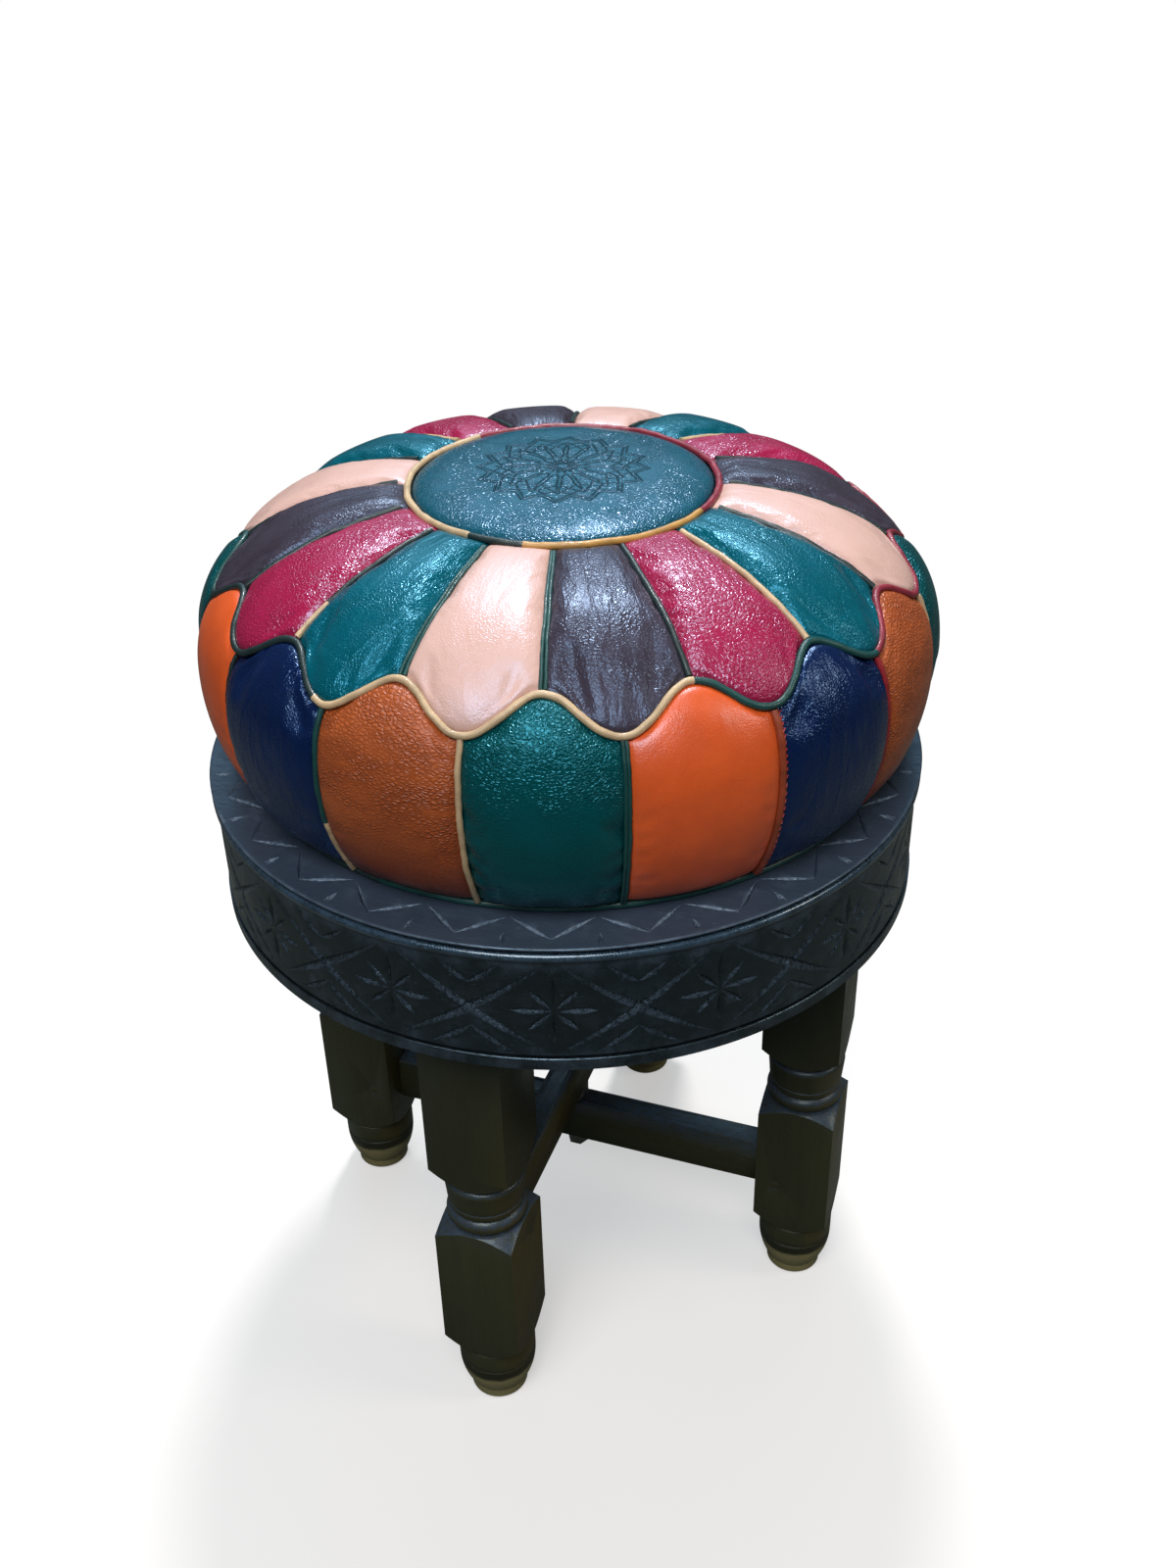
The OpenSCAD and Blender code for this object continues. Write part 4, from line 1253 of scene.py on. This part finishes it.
def addPiping(finishes):
    r = pouf["pipingR"]
    first = pouf["firstSeam"]
    rings = (("scallop_piping", scallopAngle, pipingPlan["scallopsOut"]),
             ("medallion_piping", lambda th: medallionAngle, 0))
    for node, angleAt, out in rings:
        for colour in sorted({entry[0] for entry in pipingPlan[node]}):
            runs = [roundRun(angleAt, a, b, pipingPlan["sink"] + out, 3)
                    for name, a, b in pipingPlan[node] if name == colour]
            pipingPiece(f"{node}_{colour}", runs, r, finishes[colour],
                        "piping_" + pipingPlan["slots"][colour], node)
    petals, sides = pipingPlan["petals"], pipingPlan["sides"]
    addSeams([(k, petals.get(k, pipingPlan["petalElse"])) for k in range(pouf["panels"])],
             "petal_piping", peakAngle + 0.02, medallionAngle - 0.03, first, 0, finishes)
    addSeams([(k, sides.get(k, pipingPlan["sideElse"][k % 4])) for k in range(pouf["panels"])],
             "side_piping", baseAngle + pouf["overBase"] + 0.01, tipAngle - 0.02,
             first + panelTurn / 2, 40, finishes)
    for colour, start, stop in pipingPlan["base"]:
        ring = []
        for i in range(int(stop - start) + 1):
            t = math.radians(start + i)
            rad = pouf["baseR"] + pipingPlan["baseOut"]
            rad += 0.5 * mm * noise.noise(Vector((t * 9, 3, 0)))
            ring.append(Vector((rad * math.sin(t), pouf["back"] - rad * math.cos(t),
                                pouf["foot"] + r)))
        pipingPiece(f"base_piping_{colour}", [ring], r, finishes[colour], "piping_teal",
                    "base_piping")


# The round piece on top, drawn tight, with the rosette tooled into it by its material

medal = {"rings": 44, "steps": 192, "swell": 4.2 * mm, "fallW": 24 * mm, "edgeDip": 1.2 * mm}


def makeMedallion(material):
    edge = medallionAngle + 0.012
    rim = outline(edge).x
    bm = bmesh.new()
    spots = [rim * (1 - i / medal["rings"]) for i in range(medal["rings"])]
    verts = []
    for r in spots:
        a = math.acos(min(1.0, (r / pouf["r"]) ** (1 / pouf["power"])))
        verts.append(bm.verts.new((0, -r, outline(a).y)))
    for a, b in zip(verts, verts[1:]):
        bm.edges.new((a, b))
    fullTurn(bm, medal["steps"], 16)
    hub = openEdges(bm, radiusOf, 0, 3 * mm)
    bmesh.ops.contextual_create(bm, geom=hub)
    turnOutwards(bm)
    uv = bm.loops.layers.uv.new("panel")
    for face in bm.faces:
        if face.normal.z < 0:
            face.normal_flip()
        for loop in face.loops:
            loop[uv].uv = (loop.vert.co.xy / (2 * rim)) + Vector((0.5, 0.5))
    seam = bm.verts.layers.float.new("seam")
    for vert in bm.verts:
        inward = rim - vert.co.xy.length
        near = max(0.0, 1 - inward / (7 * mm))
        fall = max(0.0, 1 - inward / medal["fallW"])
        vert[seam] = near
        wave = 0.5 * mm * noise.noise(vert.co * 22) * (1 - near)
        vert.co.z += medal["swell"] * (1 - fall ** 2) - medal["edgeDip"] * near ** 3 + wave
        vert.co.y += pouf["back"]
    piece = newPiece("leather_medallion", bm, material)
    thicken(piece)
    place(piece, "pouf", "leather_medallion", "medallion")


# A merged copy of a CAD node's mesh, to start a soft piece from
def copyOf(name):
    bm = bmesh.new()
    bm.from_mesh(nodes[name].data)
    mergeNear(bm, 1e-6)
    return bm


# The same with its flat faces whole again
def wholeFaces(name):
    bm = copyOf(name)
    bmesh.ops.dissolve_limit(bm, angle_limit=math.radians(1), verts=bm.verts[:], edges=bm.edges[:])
    return bm


def makeStuffing(material):
    bm = copyOf("stuffing")
    bmesh.ops.subdivide_edges(bm, edges=bm.edges[:], cuts=1, use_grid_fill=True)
    bmesh.ops.smooth_vert(bm, verts=bm.verts[:], factor=0.4, use_axis_x=True, use_axis_y=True,
                          use_axis_z=True)
    for vert in bm.verts:
        if vert.co.z > pouf["foot"] + 6 * mm:
            flat = Vector((vert.co.x, vert.co.y - pouf["back"], 0)).normalized()
            vert.co -= flat * (pouf["stuffingIn"] + 0.5 * mm * noise.noise(vert.co * 45))
    piece = newPiece("stuffing_bag", bm, material, smooth=180)
    place(piece, "pouf", "cotton_stuffing", "stuffing")


def makeBase(material):
    bm = wholeFaces("base_panel")
    sharp = [e for e in bm.edges if len(e.link_faces) == 2 and e.calc_face_angle() > 0.5
             and all(v.co.z < pouf["foot"] + 1 * mm for v in e.verts)]
    bmesh.ops.bevel(bm, geom=sharp, offset=0.5 * mm, segments=2, profile=0.5, affect="EDGES",
                    material=-1)
    uv = bm.loops.layers.uv.new("panel")
    for face in bm.faces:
        for loop in face.loops:
            loop[uv].uv = loop.vert.co.xy * 3
    piece = newPiece("leather_base", bm, material, smooth=40)
    place(piece, "pouf", "leather_taupe", "base_panel")


def makeZip(tape, steel):
    low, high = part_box("base_zip")
    middle = (low + high) / 2
    bm = bmesh.new()
    rows = 70
    pitch = (high.x - low.x) / rows
    size = Vector((pitch * 0.55, 2.2 * mm, 0.8 * mm))
    for i in range(rows):
        side = 1 if i % 2 else -1
        new = bmesh.ops.create_cube(bm, size=1)["verts"]
        bmesh.ops.scale(bm, verts=new, vec=size)
        spot = Vector((low.x + pitch * (i + 0.5), middle.y + side * 0.5 * mm, low.z + 0.6 * mm))
        bmesh.ops.translate(bm, verts=new, vec=spot)
    teeth = newPiece("zip_teeth", bm, steel, smooth=30)
    place(teeth, "pouf", "zip_tape", "base_zip")
    bm = wholeFaces("base_zip")
    piece = newPiece("zip_tape_and_slider", bm, tape, smooth=30)
    place(piece, "pouf", "zip_tape", "base_zip")


# Making everything

addCamera()
addLamps()
addStage()
bpy.context.scene.view_settings.view_transform = "Standard"
print("stage, camera and lamps")
dressStand()
makeHoop(woodMaterial("carved, of the hoop", woods["carved"], "x", 0.3, carved=True))
makeBoard(woodMaterial("carved, of the board", woods["board"], "x", 0.2, carved=True))
makeBead(woodMaterial("milled, of the bead", woods["bead"], "x", 0.2, carved=True))
print("the table is dressed")
leatherFinish = {name: leatherMaterial(name, look, tooled=name == "medallion")
                 for name, look in leathers.items()}
pipingFinish = {name: pipingMaterial(name, colour) for name, colour in pipings.items()}
panels = makePanels(leatherFinish)
simulatePanels(panels)
print("the leather has been run")
finishPanels(panels)
makeMedallion(leatherFinish["medallion"])
addPiping(pipingFinish)
makeStuffing(weaveMaterial("calico bag", (0.62, 0.58, 0.48), 1.2 * mm))
makeBase(leatherFinish["base"])
makeZip(weaveMaterial("zip tape", (0.03, 0.03, 0.03), 0.7 * mm), steelMaterial())
print("the pouf is sewn")
